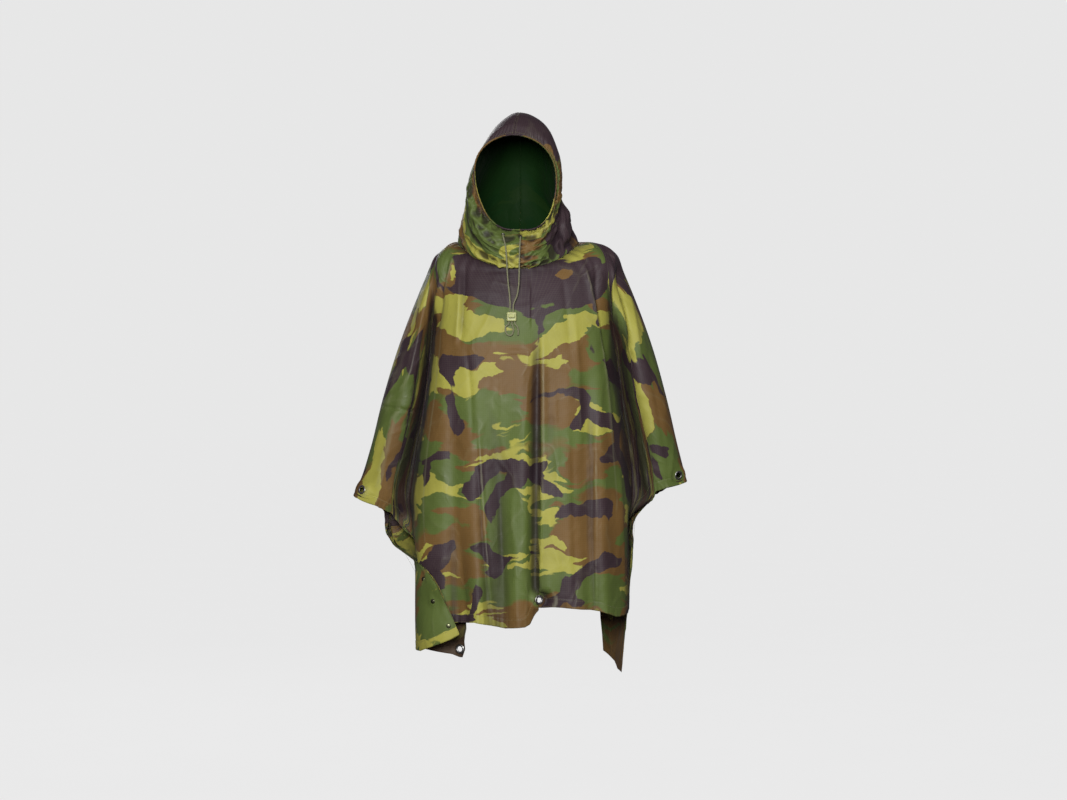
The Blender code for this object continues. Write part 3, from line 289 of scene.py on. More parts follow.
# ---- looseness and flat cut of the cloth --------------------------------------------------------
# Swells and creases of coated cloth: length across, length down, and height as a multiple of the
# crinkle setting. The long creases drift by a share of noise with lengths of its own, and the small
# ones run aslant.
SWELLS = (0.13, 0.26, 1.5)
LONG_CREASES = (0.060, 0.150, 1.5)
LONG_CREASE_DRIFT = (0.3, 0.09, 0.2)
SMALL_CREASES = (0.038, 0.060, 0.55)
SMALL_CREASE_SLANT = (0.5, 0.4)
CRINKLE_SHARP = 5
# The neck draws the cloth together to this share, over this reach. The wings' cut starts so far
# out, and fades into the body's between two depths below the neck and round two stations.
NECK_DRAWN = 0.35
NECK_DRAWN_REACH = 0.18
WING_CUT_START = 0.215
WING_CUT_DEPTHS = (0.72, 0.62)
WING_CUT_STATIONS = (0.7, 0.1)

# ---- tone of the cloth, and the shade and highlights painted on it ------------------------------
# Painted shade in the folds, where shade falls: how far aside a fold is looked for, and how deep counts as
# one.
FOLD_SHADES = ((0.085, 0.017), (0.024, 0.0060))
FOLD_SHADE_COLUMNS = 60
FOLD_SHADE = 0.90
# Colour of the painted shade.
PAINTED_FOLD_SHADE_COLOUR = (0.016, 0.008, 0.012, 1.0)
# Painted shadow along the neck seam under the cowl, and painted shade along the arm ridges, where the cloth
# turns away from the light.
NECK_SHADE = 0.70
NECK_SHADE_REACH = 0.022
EDGE_SHADE = 1.0
EDGE_SHADE_REACH = 0.012
SHADE_POWER = 1.3
# Painted highlight on sharp ridges: from what height over the cloth beside them, and how much.
PAINTED_HIGHLIGHT_RIDGE = (0.0017, 0.0036)
PAINTED_HIGHLIGHT_SHARE = 0.24
PAINTED_HIGHLIGHT_COLUMNS = 2
PAINTED_HIGHLIGHT_CLEAR_OF_SIDE = (0.01, 0.02)
# How much lighter the fine creases and the thicker threads are made.
LINES_LIGHTENED = 0.07
# Coated inner sides: how far each is tinted, and with what.
INSIDE_TINTED = {"front_panel": 0.75, "back_panel": 0.20}
INSIDE_TINT = (0.062, 0.040, 0.028, 1.0)
# The hood's inside: its near-black tint is mostly painted shade inside the hollow hood, over the coating's
# own dark green.
HOOD_INSIDE_COAT_AND_SHADE = (0.006, 0.027, 0.006, 1.0)
# Dull patches of the metals.
DULL_STEEL = (0.26, 0.26, 0.24, 1.0)
DULL_SNAP = (0.07, 0.07, 0.04, 1.0)
# Where each piece was cut from the printed cloth.
CLOTH_SHIFTS = {"front_panel": (0.0, 0.0, 0.0), "back_panel": (0.0, 0.0, 0.0),
                "hood_left": (3.1, 1.7, 0.0), "hood_right": (5.3, 4.2, 0.0)}
FACE_HEM_SHIFT = (7.0, 2.0, 0.0)

# ---- hood ---------------------------------------------------------------------------------------
# One row for each ring from the face opening back to the neck seam. front: the ring's point under
# the chin. crown: its point over the head. Widths are to each side; egg above 0 is wide at the top.
# shoulder: how far the ring's sides ride up over the shoulders.
HOOD_COLUMNS = ("front_y", "front_z", "crown_x", "crown_y", "crown_z", "left", "right",
                "egg_l", "egg_r", "round", "shoulder")
HOOD_RINGS = (
    (-0.100, 0.0385, -0.014, -0.106, 0.263, 0.099, 0.0945, 0.10, 0.10, 0.62, 0.000),
    (-0.113, 0.0300, -0.010, -0.096, 0.292, 0.108, 0.0975, -0.20, 0.04, 0.80, 0.000),
    (-0.124, 0.0190, -0.004, -0.062, 0.318, 0.121, 0.1000, -0.34, 0.02, 0.94, 0.000),
    (-0.132, 0.0050, 0.000, -0.004, 0.326, 0.126, 0.0995, -0.36, -0.02, 1.00, 0.000),
    (-0.136, -0.010, 0.000, 0.060, 0.304, 0.127, 0.099, -0.34, -0.02, 1.00, 0.002),
    (-0.136, -0.026, 0.000, 0.108, 0.246, 0.131, 0.094, -0.24, -0.02, 1.00, 0.005),
    (-0.132, -0.039, 0.000, 0.128, 0.168, 0.140, 0.100, -0.14, -0.14, 1.00, 0.011),
    (-0.125, -0.048, 0.000, 0.126, 0.090, 0.145, 0.128, -0.06, -0.02, 1.00, 0.019),
)
# The large bunch on the right of the neck.
HOOD_BUNCH = {"ring": 5.8, "angle": -1.28, "ring_spread": 0.8, "angle_spread": 0.34, "height": 0.026}
# The face opening and the rings next to it narrow towards the crown.
HOOD_PEAK = 0.42
HOOD_PEAK_RINGS = 3
HOOD_MIDDLE_Z = 0.13
# Bunches on the hood, by ring and angle from the chin: positive angles are on the left.
BUNCH_COLUMNS = ("ring", "angle", "ring_spread", "angle_spread", "height")
HOOD_BUNCHES = (
    (4.3, 0.25, 0.28, 0.30, 0.0050),
    (5.4, 0.85, 0.30, 0.34, 0.0060),
    (6.0, -0.30, 0.26, 0.26, 0.0060),
    (7.0, 0.35, 0.26, 0.34, 0.0060),
    (3.6, -0.60, 0.28, 0.28, 0.0050),
    (4.9, -0.75, 0.30, 0.24, 0.0050),
    (5.3, -1.40, 0.45, 0.20, 0.0130),
    (6.7, -1.25, 0.35, 0.30, -0.0090),
    (4.2, -1.45, 0.35, 0.25, -0.0050),
    (6.4, 1.10, 0.30, 0.30, 0.0050),
    (4.3, 1.40, 0.30, 0.25, -0.0040),
    (2.6, 2.40, 0.60, 0.30, 0.0030),
    (2.2, -2.50, 0.60, 0.25, 0.0030),
    (4.6, 2.80, 0.90, 0.20, 0.0040),
    (5.6, -2.70, 0.90, 0.22, 0.0040),
)
# Wrinkles of the cowl: height, length round the neck, width and share of those that run aslant.
COWL_WRINKLES = ((0.0042, 0.046, 0.021, 0.0), (0.0034, 0.034, 0.019, 0.8), (0.0018, 0.020, 0.013, -0.6))
COWL_COUNTER_SLANT = 0.6
COWL_WRINKLE_SHARP = 3
COWL_WRINKLE_REST = 0.4
COWL_ANGLES = (1.9, 1.2)
# Painted shade in the cowl's hollows: how low the cloth must lie to be shaded, and over what range.
COWL_SHADE = 0.0027
COWL_SHADE_RANGE = (-0.2, 1.0)
# Crinkle of the hood's cloth: stretched back from the face, aslant, squeezed round the neck, and
# moved along on the right half.
HOOD_CRINKLE = (1.6, 0.2, 0.8, 3.0)
# How much the cloth of the hood is crinkled, and how much painted shade falls in its hollows, all over and
# how much more on its cowl.
HOOD_CRINKLED = (0.6, 0.6)
HOOD_SHADED = (0.25, 0.75)
HOOD_SHADE = 0.9
HOOD_BUNCH_SLANT = 0.25
COWL_DRIFT = (0.7, 0.05)
# The hood's unevenness fades over so many rings at the face opening and at the neck seam, and over
# such angles at crown and chin, down to these shares.
HOOD_END_RINGS = (0.25, 0.3)
HOOD_END_LEAST = 0.12
HOOD_SEAM_ANGLES = (0.05, 0.04)
HOOD_SEAM_LEAST = 0.25
FACE_HEM_WIDTH = 0.012
FACE_HEM_THICK = 0.0042
FACE_HEM_AHEAD = 0.0006
FACE_HEM_INSET = 0.0008
# How much the pleats swell the channel along its width and across it, and how flat its sides are.
FACE_HEM_WAVES = (0.05, 0.16)
FACE_HEM_FLAT = 0.7
# Share and length of the drift of its pleats and of its small waves, and its place in the cut.
FACE_HEM_DRIFT = (0.45, 0.021)
FACE_HEM_ROUGH = (0.4, 0.006)
FACE_HEM_CUT = (0.31, 0.0035)

# Soft places where the print holds more or less of a colour: the piece, x and z of the middle and
# its reach across and up in metres, then how much more light, brown and dark.
# At the neck front under the cowl, over the hood's brow and high on the inside of the left wing's swag, the
# extra dark is partly print and partly painted shade.
PRINT_PLACES = (
    ("front_panel", 0.02, -0.085, 0.15, 0.050, -0.18, 0.04, 0.26),
    ("front_panel", -0.01, -0.300, 0.09, 0.090, -0.10, 0.12, -0.10),
    ("front_panel", 0.12, -0.180, 0.06, 0.050, 0.12, 0.00, -0.20),
    ("front_panel", -0.15, -0.200, 0.05, 0.070, 0.12, 0.00, -0.20),
    ("front_panel", -0.06, -0.470, 0.10, 0.060, 0.02, -0.12, -0.04),
    ("back_panel", -0.19, -0.850, 0.10, 0.140, 0.00, -0.20, -0.30),
    ("back_panel", -0.235, -0.930, 0.05, 0.024, 0.30, -0.20, -0.30),
    ("back_panel", -0.165, -0.905, 0.05, 0.024, 0.30, -0.20, -0.30),
    ("back_panel", -0.230, -0.790, 0.04, 0.045, 0.24, -0.10, -0.20),
    ("front_panel", -0.280, -0.250, 0.03, 0.120, 0.12, -0.05, -0.10),
    ("front_panel", 0.070, -0.095, 0.08, 0.035, -0.20, 0.02, 0.26),
    ("hood_left", -0.02, 0.285, 0.09, 0.060, -0.20, 0.12, 0.34),
    ("hood_right", 0.02, 0.285, 0.11, 0.065, -0.20, 0.12, 0.36),
    ("coated_inside_back_panel", -0.29, -0.640, 0.08, 0.035, -0.20, 0.16, 0.20),
    ("coated_inside_back_panel", -0.29, -0.710, 0.08, 0.030, 0.02, -0.20, -0.30),
    ("coated_inside_back_panel", 0.23, -0.940, 0.06, 0.140, -0.10, 0.05, -0.20),
    ("hood_left", -0.05, 0.010, 0.10, 0.050, -0.06, -0.12, -0.16),
    ("hood_right", 0.04, 0.010, 0.06, 0.050, 0.02, -0.10, -0.12),
    ("hood_right", 0.12, 0.060, 0.05, 0.050, -0.10, 0.04, 0.22),
)

# ---- fittings -----------------------------------------------------------------------------------
# Drawcord: straight out of each chin eyelet, down over the bunched collar to the lock,
# a loop below it and a short tail. Columns are x, y and z.
CORDS = {
    "drawcord_left": (
        (-0.0390, -0.1262, 0.0270), (-0.0388, -0.1335, 0.0258), (-0.0380, -0.1380, 0.0200),
        (-0.0345, -0.1425, 0.0060), (-0.0318, -0.1440, -0.0120), (-0.0302, -0.1440, -0.0380),
        (-0.0285, -0.1440, -0.0660), (-0.0262, -0.1448, -0.0920), (-0.0235, -0.1460, -0.1150),
        (-0.0222, -0.1478, -0.1360), (-0.0222, -0.1476, -0.1548)),
    "drawcord_right": (
        (0.0020, -0.1290, 0.0215), (0.0020, -0.1360, 0.0203), (0.0016, -0.1400, 0.0145),
        (0.0006, -0.1430, 0.0010), (-0.0002, -0.1440, -0.0180), (-0.0006, -0.1440, -0.0440),
        (-0.0014, -0.1440, -0.0720), (-0.0026, -0.1448, -0.0960), (-0.0066, -0.1460, -0.1180),
        (-0.0140, -0.1478, -0.1370), (-0.0150, -0.1476, -0.1548)),
    "drawcord_loop": (
        (-0.0240, -0.1476, -0.1776), (-0.0262, -0.1484, -0.1838), (-0.0318, -0.1490, -0.1880),
        (-0.0330, -0.1500, -0.1980), (-0.0280, -0.1510, -0.2080), (-0.0200, -0.1510, -0.2095),
        (-0.0150, -0.1500, -0.2010), (-0.0152, -0.1490, -0.1900), (-0.0176, -0.1484, -0.1838),
        (-0.0180, -0.1476, -0.1776)),
    "drawcord_tail": (
        (-0.0120, -0.1476, -0.1776), (-0.0098, -0.1486, -0.1838), (-0.0052, -0.1500, -0.1900),
        (-0.0032, -0.1512, -0.1990), (-0.0036, -0.1520, -0.2090)),
}
CORD_STEP = 0.003
LEAST_CORD_STEPS = 8
CORD_SIDES = 14
# Pieces of the frame that the fine ones stand for, and the way each faces.
RINGS = (
    ("grommet_wing_left", "front_panel", -1), ("grommet_wing_right", "front_panel", -1),
    ("grommet_hem_front", "front_panel", -1), ("grommet_corner_front_left", "front_panel", -1),
    ("grommet_hem_back", "back_panel", 1),
)
EYELETS = (("chin_eyelet_left", -1), ("chin_eyelet_right", 1))
EYELET_NEAR_SEAM = 0.012
SNAPS = ("snap_left_top", "snap_left_middle", "snap_left_low")
# Turned profiles: radius and height, both in millimetres.
MILLIMETRE = 0.001
GROMMET_PROFILE = ((6.4, -0.9), (6.5, -1.4), (8.0, -1.5), (10.6, -1.3), (11.2, -0.7), (11.2, 0.6),
                   (10.9, 1.1), (9.9, 1.4), (8.4, 1.5), (7.1, 1.35), (6.55, 0.9), (6.4, 0.2))
EYELET_PROFILE = ((2.7, -0.55), (4.7, -0.6), (4.8, -0.1), (4.6, 0.35), (3.9, 0.6), (3.1, 0.5),
                  (2.75, 0.1))
SNAP_PROFILE = ((0.0, -1.0), (4.6, -1.0), (5.5, -0.9), (5.4, -0.4), (4.9, 0.3), (3.9, 0.75),
                (3.4, 0.6), (2.9, 0.9), (1.4, 1.0), (0.0, 1.0))
TURN_SIDES = 40
SMALL_TURN_SIDES = 28
LEAST_RADIUS = 1e-5
WELD_REACH = 3e-5
RING_SHARP_ANGLE = math.radians(48.0)
BLOCK_SHARP_ANGLE = math.radians(50.0)
# Slices of a moulded block along each axis, so that its ribs have something to bend.
BLOCK_CUTS = ((0, 9), (2, 26))
# Piece, rounding of its edges, ribs across its front and their depth.
LOCK_PARTS = (("cord_lock", 0.0032, 0, 0.0), ("cord_lock_button", 0.0022, 3, 0.0005))
# Rounded tip of a tube: how far past the end, and how wide, both in radii.
TUBE_TIP = ((0.35, 0.6), (0.5, 0.05))
# Cloth held flat under a fitting: radius that is flat, reach and height.
GROMMET_HOLD = (0.013, 0.030, 0.0003)
EYELET_HOLD = (0.006, 0.018, -0.0007)
SNAP_HOLD = (0.0065, 0.016, -0.0011)
HOLE = 0.0088
HOLE_REACH = 0.026
HOLE_ROWS = 9
HOLE_COLUMNS = 12
STITCH_SIZES = (0.86, 1.08)
STITCH_LIFT = 0.35
HEM_SEAM_INSET = 0.002
EDGE_SEAM = 0.0022
FACE_HEM_STEPS = 420
FACE_HEM_SIDES = 14

# ---- grids of the cloth -------------------------------------------------------------------------
BODY_ROWS = 146
HEM_ROWS = 22
HEM_ROWS_FROM = 0.955
HEM_RAISE = 0.0006
HEM_RAISE_EDGE = (0.0015, -0.0005)
HEM_DENT = 0.0011
HEM_DENT_WIDTH = 0.0018
PUCKER_LENGTH = 0.0095
PUCKER_SHARE = 0.4
# Where the left side's cloth counts as the lap, without creases or fold shade: stations and depths
# below the neck.
LAP_STATIONS = (4.7, 4.3)
LAP_DEPTHS = (0.62, 0.70)
CREASES_GROWN = 0.10
SIDE_HOLD_STATIONS = 0.8
SHOULDER_HOLD = 0.05
PANEL_CLEARANCE = 0.0001
HOOD_COLUMN_COUNT = 170
HOOD_ROW_COUNT = 120
HOOD_LAP = -0.0006
HOOD_FRONT_LIMIT = -0.1410
FACE_PLEAT_LENGTH = 0.011
FACE_PLEAT_HEIGHT = 0.0016
FACE_PLEAT_REACH = 0.022
FACE_PLEAT_FALL = 1.4
FACE_PLEAT_DRIFT = (0.4, 0.02)
NOISE_CELLS = 64
# Seeds of the noise; those of the gathers are added to their panel's own.
NECK_SEED, HEM_SEED = 5, 8
HOOD_SEED, COWL_DRIFT_SEED, COWL_SEED, PLEAT_SEED = 71, 80, 90, 5
FACE_HEM_SEEDS = (15, 16)
SURFACES = {}

# ---- camera and lights --------------------------------------------------------------------------
CAMERA_DISTANCE = 5.0
CAMERA_WIDTH = 2.5608
CAMERA_X = 0.0324
CAMERA_Z = -0.36
SENSOR_WIDTH = 36.0
VIEW_DEPTH = 200.0
FLOOR_RADIUS = 60.0
FLOOR_TONE = (0.05, 0.05, 0.05, 1.0)
FILL = (0.30, 0.24, 0.32, 1.0)
FILL_STRENGTH = 0.30
# Name, place, what it points at, size and share of the key light's power.
LIGHTS = (
    ("key_light", (-0.35, -4.6, 0.55), (0.0, 0.0, -0.40), (1.3, 1.3), 1.0),
    ("side_light", (2.4, -3.2, 1.2), (0.0, 0.0, -0.3), (1.2, 1.6), 0.12),
    ("back_light", (-1.5, 4.0, 1.8), (0.0, 0.0, -0.3), (2.4, 2.4), 0.35),
)


# ---- small helpers ------------------------------------------------------------------------------
def column(table, columns, name):
    return np.array([row[columns.index(name)] for row in table])


def curve_through(knots, values, at):
    """A smooth curve through the knots (cubic Hermite), held level past both ends."""
    knots = np.asarray(knots, float)
    values = np.asarray(values, float)
    if knots[0] > knots[-1]:
        knots, values = knots[::-1], values[::-1]
    at = np.clip(at, knots[0], knots[-1])
    slopes = np.gradient(values, knots, axis=0)
    low = np.clip(np.searchsorted(knots, at, side="right") - 1, 0, len(knots) - 2)
    span = knots[low + 1] - knots[low]
    s = (at - knots[low]) / span
    if values.ndim > 1:
        s = s.reshape(s.shape + (1,) * (values.ndim - 1))
        span = span.reshape(s.shape)
    return ((2 * s ** 3 - 3 * s ** 2 + 1) * values[low] + (s ** 3 - 2 * s ** 2 + s) * span * slopes[low]
            + (3 * s ** 2 - 2 * s ** 3) * values[low + 1] + (s ** 3 - s ** 2) * span * slopes[low + 1])


def soft_weights(station, count):
    """Weights of a uniform cubic B-spline over the control stations, exact at both ends."""
    weights = np.zeros((len(station), count))
    low = np.clip(np.floor(station).astype(int), 0, count - 2)
    s = station - low
    parts = ((1 - s) ** 3 / 6, (3 * s ** 3 - 6 * s ** 2 + 4) / 6,
             (-3 * s ** 3 + 3 * s ** 2 + 3 * s + 1) / 6, s ** 3 / 6)
    for offset, part in zip((-1, 0, 1, 2), parts):
        for place, index in enumerate(low + offset):
            inside = min(max(index, 0), count - 1)
            if index == inside:
                weights[place, inside] += part[place]
            else:
                weights[place, inside] += 2 * part[place]
                weights[place, 1 if index < 0 else count - 2] -= part[place]
    return weights


def smooth_step(value, low, high):
    s = np.clip((value - low) / (high - low), 0.0, 1.0)
    return s * s * (3 - 2 * s)


def value_noise(u, v, seed):
    """Smooth random heights between -1 and 1 on a lattice of one unit."""
    lattice = np.random.default_rng(seed).uniform(-1.0, 1.0, (NOISE_CELLS, NOISE_CELLS))
    low_u, low_v = np.floor(u).astype(int), np.floor(v).astype(int)
    s, t = u - low_u, v - low_v
    s, t = s * s * (3 - 2 * s), t * t * (3 - 2 * t)
    near, far = (lattice[low_u % NOISE_CELLS, row % NOISE_CELLS] * (1 - s)
                 + lattice[(low_u + 1) % NOISE_CELLS, row % NOISE_CELLS] * s for row in (low_v, low_v + 1))
    return near * (1 - t) + far * t


def line_noise(along, row, seed):
    """Smooth random heights along one row of the lattice."""
    return value_noise(along, np.full_like(along, row), seed)


def crests(u, v, seed, sharp):
    """Random heights between 0 and 1 with narrow crests."""
    return (1 - np.abs(value_noise(u, v, seed))) ** sharp


def lengths_along(points, axis):
    """Distance along a line, or along a grid from its first row or column."""
    steps = np.linalg.norm(np.diff(points, axis=axis), axis=-1)
    start = np.zeros_like(np.take(steps, [0], axis=axis))
    return np.concatenate([start, np.cumsum(steps, axis=axis)], axis=axis)


def grid_normals(points, middle):
    """Unit normals of a grid, pointing away from the middle (one place, or one for each point)."""
    normals = np.cross(np.gradient(points, axis=0), np.gradient(points, axis=1))
    normals /= np.maximum(np.linalg.norm(normals, axis=-1, keepdims=True), 1e-9)
    if np.sum(normals * (points - middle)) < 0:
        normals = -normals
    return normals


def part_frame(name, facing):
    """Middle and axis of a small round part of the frame, with the axis on the side it faces."""
    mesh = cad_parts[name].data
    places = np.zeros(len(mesh.vertices) * 3)
    mesh.vertices.foreach_get("co", places)
    places = np.unique(places.reshape(-1, 3).round(6), axis=0)
    middle = places.mean(axis=0)
    axis = np.linalg.svd(places - middle)[2][2]
    return middle, axis * math.copysign(1.0, axis[1] * facing)


def add_piece(name, mesh, materials, stands_for):
    """A visible piece that rides on the root and stands for pieces of the frame."""
    piece = bpy.data.objects.new(name, mesh)
    bpy.context.scene.collection.objects.link(piece)
    for material in materials:
        piece.data.materials.append(material)
    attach(piece, "root")
    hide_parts(*stands_for)
    return piece


def mesh_of(name, points, faces, uv=None, inner_faces=(0, 0), deep=None):
    """A smooth mesh: a UV map in metres of flat cloth, a second slot for inner faces, and the amounts of
    painted shade and painted highlight.
    """
    faces = np.asarray(faces)
    used, faces = np.unique(faces, return_inverse=True)
    mesh = bpy.data.meshes.new(name)
    mesh.from_pydata(np.asarray(points)[used].tolist(), [], faces.reshape(-1, 4).tolist())
    if uv is not None:
        spots = np.zeros(len(mesh.loops), dtype=int)
        mesh.loops.foreach_get("vertex_index", spots)
        mesh.uv_layers.new(name="cut").data.foreach_set("uv", np.asarray(uv)[used][spots].ravel())
    if deep is not None:
        depths = mesh.attributes.new("deep", "FLOAT", "POINT").data
        depths.foreach_set("value", np.asarray(deep)[used].ravel())
    slots = np.zeros(len(mesh.polygons), dtype=int)
    slots[inner_faces[0]:inner_faces[1]] = 1
    mesh.polygons.foreach_set("material_index", slots)
    mesh.shade_smooth()
    mesh.update()
    return mesh


def closed_wall(name, outer, normals, thickness, uv, deep, keep=None):
    """A closed wall under an outer grid; cells that aren't kept leave a hole with a rim of its own."""
    rows, columns = outer.shape[:2]
    half = rows * columns
    index = np.arange(half).reshape(rows, columns)
    quads = np.stack([index[:-1, :-1], index[:-1, 1:], index[1:, 1:], index[1:, :-1]], axis=-1)
    quads = quads[keep] if keep is not None else quads.reshape(-1, 4)
    places = outer.reshape(-1, 3)
    turn = np.cross(places[quads[:, 1]] - places[quads[:, 0]], places[quads[:, 3]] - places[quads[:, 0]])
    if np.sum(turn * normals.reshape(-1, 3)[quads[:, 0]]) < 0:
        quads = quads[:, ::-1]
    edges = np.concatenate([quads[:, [side, (side + 1) % 4]] for side in range(4)])
    rim = edges[~np.isin(edges[:, 0] * half + edges[:, 1], edges[:, 1] * half + edges[:, 0])]
    rims = np.stack([rim[:, 1], rim[:, 0], half + rim[:, 0], half + rim[:, 1]], axis=-1)
    faces = np.concatenate([quads, quads[:, ::-1] + half, rims])
    points = np.concatenate([places, places - normals.reshape(-1, 3) * thickness])
    both = np.concatenate([uv.reshape(-1, 2)] * 2)
    return mesh_of(name, points, faces, both, (len(quads), 2 * len(quads)), np.tile(deep.ravel(), 2))


def ring_faces(rings, corners, ends_joined=True, sides_joined=True):
    """Faces between rings of corners that follow one another."""
    return [(ring * corners + corner, ring * corners + (corner + 1) % corners,
             (ring + 1) % rings * corners + (corner + 1) % corners, (ring + 1) % rings * corners + corner)
            for ring in range(rings - (not ends_joined)) for corner in range(corners - (not sides_joined))]


def mend(mesh, weld=0.0, close=0):
    """Welds near points and closes holes of so many sides where asked, and turns all faces outward."""
    shell = bmesh.new()
    shell.from_mesh(mesh)
    if weld:
        bmesh.ops.remove_doubles(shell, verts=shell.verts, dist=weld)
    if close:
        bmesh.ops.holes_fill(shell, edges=shell.edges, sides=close)
    bmesh.ops.recalc_face_normals(shell, faces=shell.faces)
    shell.to_mesh(mesh)
    shell.free()
    mesh.shade_smooth()
    return mesh


def axes_across(axis):
    """Two directions square to an axis and to each other."""
    side = np.cross(axis, (0.0, 0.0, 1.0))
    side /= np.linalg.norm(side)
    return side, np.cross(side, axis)


def turned_mesh(name, profile, middle, axis, sides=TURN_SIDES):
    """A ring or a cap turned round an axis from its profile; a cap's profile starts and ends at 0."""
    side, up = axes_across(axis)
    turns = np.arange(sides) * 2 * math.pi / sides
    around = np.outer(np.cos(turns), side) + np.outer(np.sin(turns), up)
    profile = np.array(profile) * MILLIMETRE
    radii = np.maximum(profile[None, :, :1], LEAST_RADIUS)
    points = middle + around[:, None, :] * radii + profile[None, :, 1:] * axis
    faces = ring_faces(sides, len(profile), sides_joined=profile[0, 0] > 0)
    mesh = mend(mesh_of(name, points.reshape(-1, 3), faces), weld=WELD_REACH)
    mesh.set_sharp_from_angle(angle=RING_SHARP_ANGLE)
    return mesh


def tube_mesh(name, line, radius, sides):
    """A tube round a line, closed at both ends with rounded tips; its UV map runs along it."""
    line = np.asarray(line)
    tangents = np.gradient(line, axis=0)
    tangents /= np.linalg.norm(tangents, axis=1, keepdims=True)
    side = np.cross(tangents[0], (0.0, 1.0, 0.0))
    points, uvs = [], []
    lengths = lengths_along(line, 0)
    rings = [(0, -ahead, wide) for ahead, wide in TUBE_TIP[::-1]]
    rings += [(step, 0.0, 1.0) for step in range(len(line))]
    rings += [(len(line) - 1, ahead, wide) for ahead, wide in TUBE_TIP]
    for step, ahead, wide in rings:
        side = side - tangents[step] * side.dot(tangents[step])
        side /= np.linalg.norm(side)
        up = np.cross(tangents[step], side)
        for corner in range(sides):
            turn = 2 * math.pi * corner / sides
            points.append(line[step] + tangents[step] * ahead * radius
                          + (side * math.cos(turn) + up * math.sin(turn)) * radius * wide)
            uvs.append((corner / sides, (lengths[step] + ahead * radius) / (2 * math.pi * radius)))
    return mend(mesh_of(name, points, ring_faces(len(rings), sides, ends_joined=False), uvs), close=sides)


# ---- shaping the panels -------------------------------------------------------------------------
def neck_point(angle):
    """Neck seam; the angle is 0 at the front, pi / 2 on the left shoulder and pi at the nape."""
    ahead = np.cos(angle)
    front = np.clip(ahead, 0.0, 1.0)
    back = np.clip(-ahead, 0.0, 1.0)
    x = NECK_MIDDLE_X - NECK_HALF_WIDTH * np.sin(angle)
    y = -NECK_FRONT * front + NECK_BACK * back
    z = NECK_SIDE_Z - NECK_FRONT_DIP * front ** NECK_CURVE + NECK_BACK_RISE * back ** NECK_CURVE
    return np.stack([x, y, z], axis=-1)


def station_list():
    stations = []
    for (start, steps), (stop, _) in zip(COLUMN_RUNS, COLUMN_RUNS[1:]):
        stations += [start + (stop - start) * step / steps for step in range(steps)]
    return np.array(stations + [float(LAST_STATION)])


def top_line(stations, facing):
    """Upper edge of a panel: shoulder line, half of the neck seam, shoulder line."""
    turn = (MIDDLE_STATION - stations) / NECK_STATIONS * math.pi / 2
    points = neck_point(turn if facing < 0 else math.pi - turn)
    for shoulder, held in ((SHOULDER_LEFT, stations < LEFT_VALLEY),
                           (SHOULDER_RIGHT, stations > RIGHT_VALLEY)):
        knots = column(shoulder, SHOULDER_COLUMNS, "station")
        points[held, 0] = curve_through(knots, column(shoulder, SHOULDER_COLUMNS, "x"), stations[held])
        points[held, 1] = 0.0
        points[held, 2] = curve_through(knots, column(shoulder, SHOULDER_COLUMNS, "z"), stations[held])
    return points


def gather_wing(xs, ys, stations, edge, fold):
    """Below the cuff the wing's stations lie just past the side edge, in line with the cloth."""
    for step, station in enumerate(stations, start=1):
        xs[station] = xs[edge] + EDGE_LEFTOVER * step * (xs[edge] - xs[fold])
        ys[station] = ys[edge] + EDGE_LEFTOVER * step * (ys[edge] - ys[fold])


def section_stations(name, sections):
    """Control stations (x and y) of every section, from the named columns of its table."""
    facing = math.copysign(1.0, sections[0][-1])
    rows_x, rows_y, heights = [], [], []
    for section in sections:
        at = dict(zip(SECTION_COLUMNS, section))
        width = at["body_r"] - at["body_l"]
        middle = (at["body_r"] + at["body_l"]) / 2
        wing_l = at["ridge_l"] + WING_MIDDLE * (at["lip_l"] - at["ridge_l"])
        wing_r = at["ridge_r"] + WING_MIDDLE * (at["lip_r"] - at["ridge_r"])
        xs = [at["ridge_l"], at["ridge_l"] + RIDGE_STEP, wing_l, at["lip_l"], at["valley_l"],
              at["body_l"], at["body_l"] + CHEST_STEP * width, middle,
              at["body_r"] - CHEST_STEP * width, at["body_r"],
              at["valley_r"], at["lip_r"], wing_r, at["ridge_r"] - RIDGE_STEP, at["ridge_r"]]
        ys = [0.0, RIDGE_DEPTH * at["wing_y"], at["wing_y"], at["lip_y"], at["valley_y"],
              SIDE_DEPTH * at["body_y"], CHEST_DEPTH * at["body_y"], at["body_y"]]
        ys = ys + ys[-2::-1]
        if at["z"] < CUFF_END[name][1]:
            ys[RIGHT_VALLEY] = facing * RIGHT_TURN_Y
            ys[RIGHT_LIP] = facing * RIGHT_EDGE_Y
            gather_wing(xs, ys, range(RIGHT_LIP + 1, LAST_STATION + 1), RIGHT_LIP, RIGHT_VALLEY)
        for row in LAPS[name]:
            lap = dict(zip(LAP_COLUMNS, row))
            if lap["z"] == at["z"]:
                xs[LEFT_SIDE], ys[LEFT_SIDE] = lap["side_x"], lap["side_y"]
                xs[LEFT_VALLEY], ys[LEFT_VALLEY] = lap["turn_x"], lap["turn_y"]
                xs[LEFT_LIP], ys[LEFT_LIP] = lap["edge_x"], lap["edge_y"]
        if at["z"] < CUFF_END[name][0]:
            gather_wing(xs, ys, range(LEFT_LIP - 1, -1, -1), LEFT_LIP, LEFT_VALLEY)
        heights.append(at["z"])
        rows_x.append(xs)
        rows_y.append(ys)
    return np.array(heights), np.array(rows_x), np.array(rows_y)


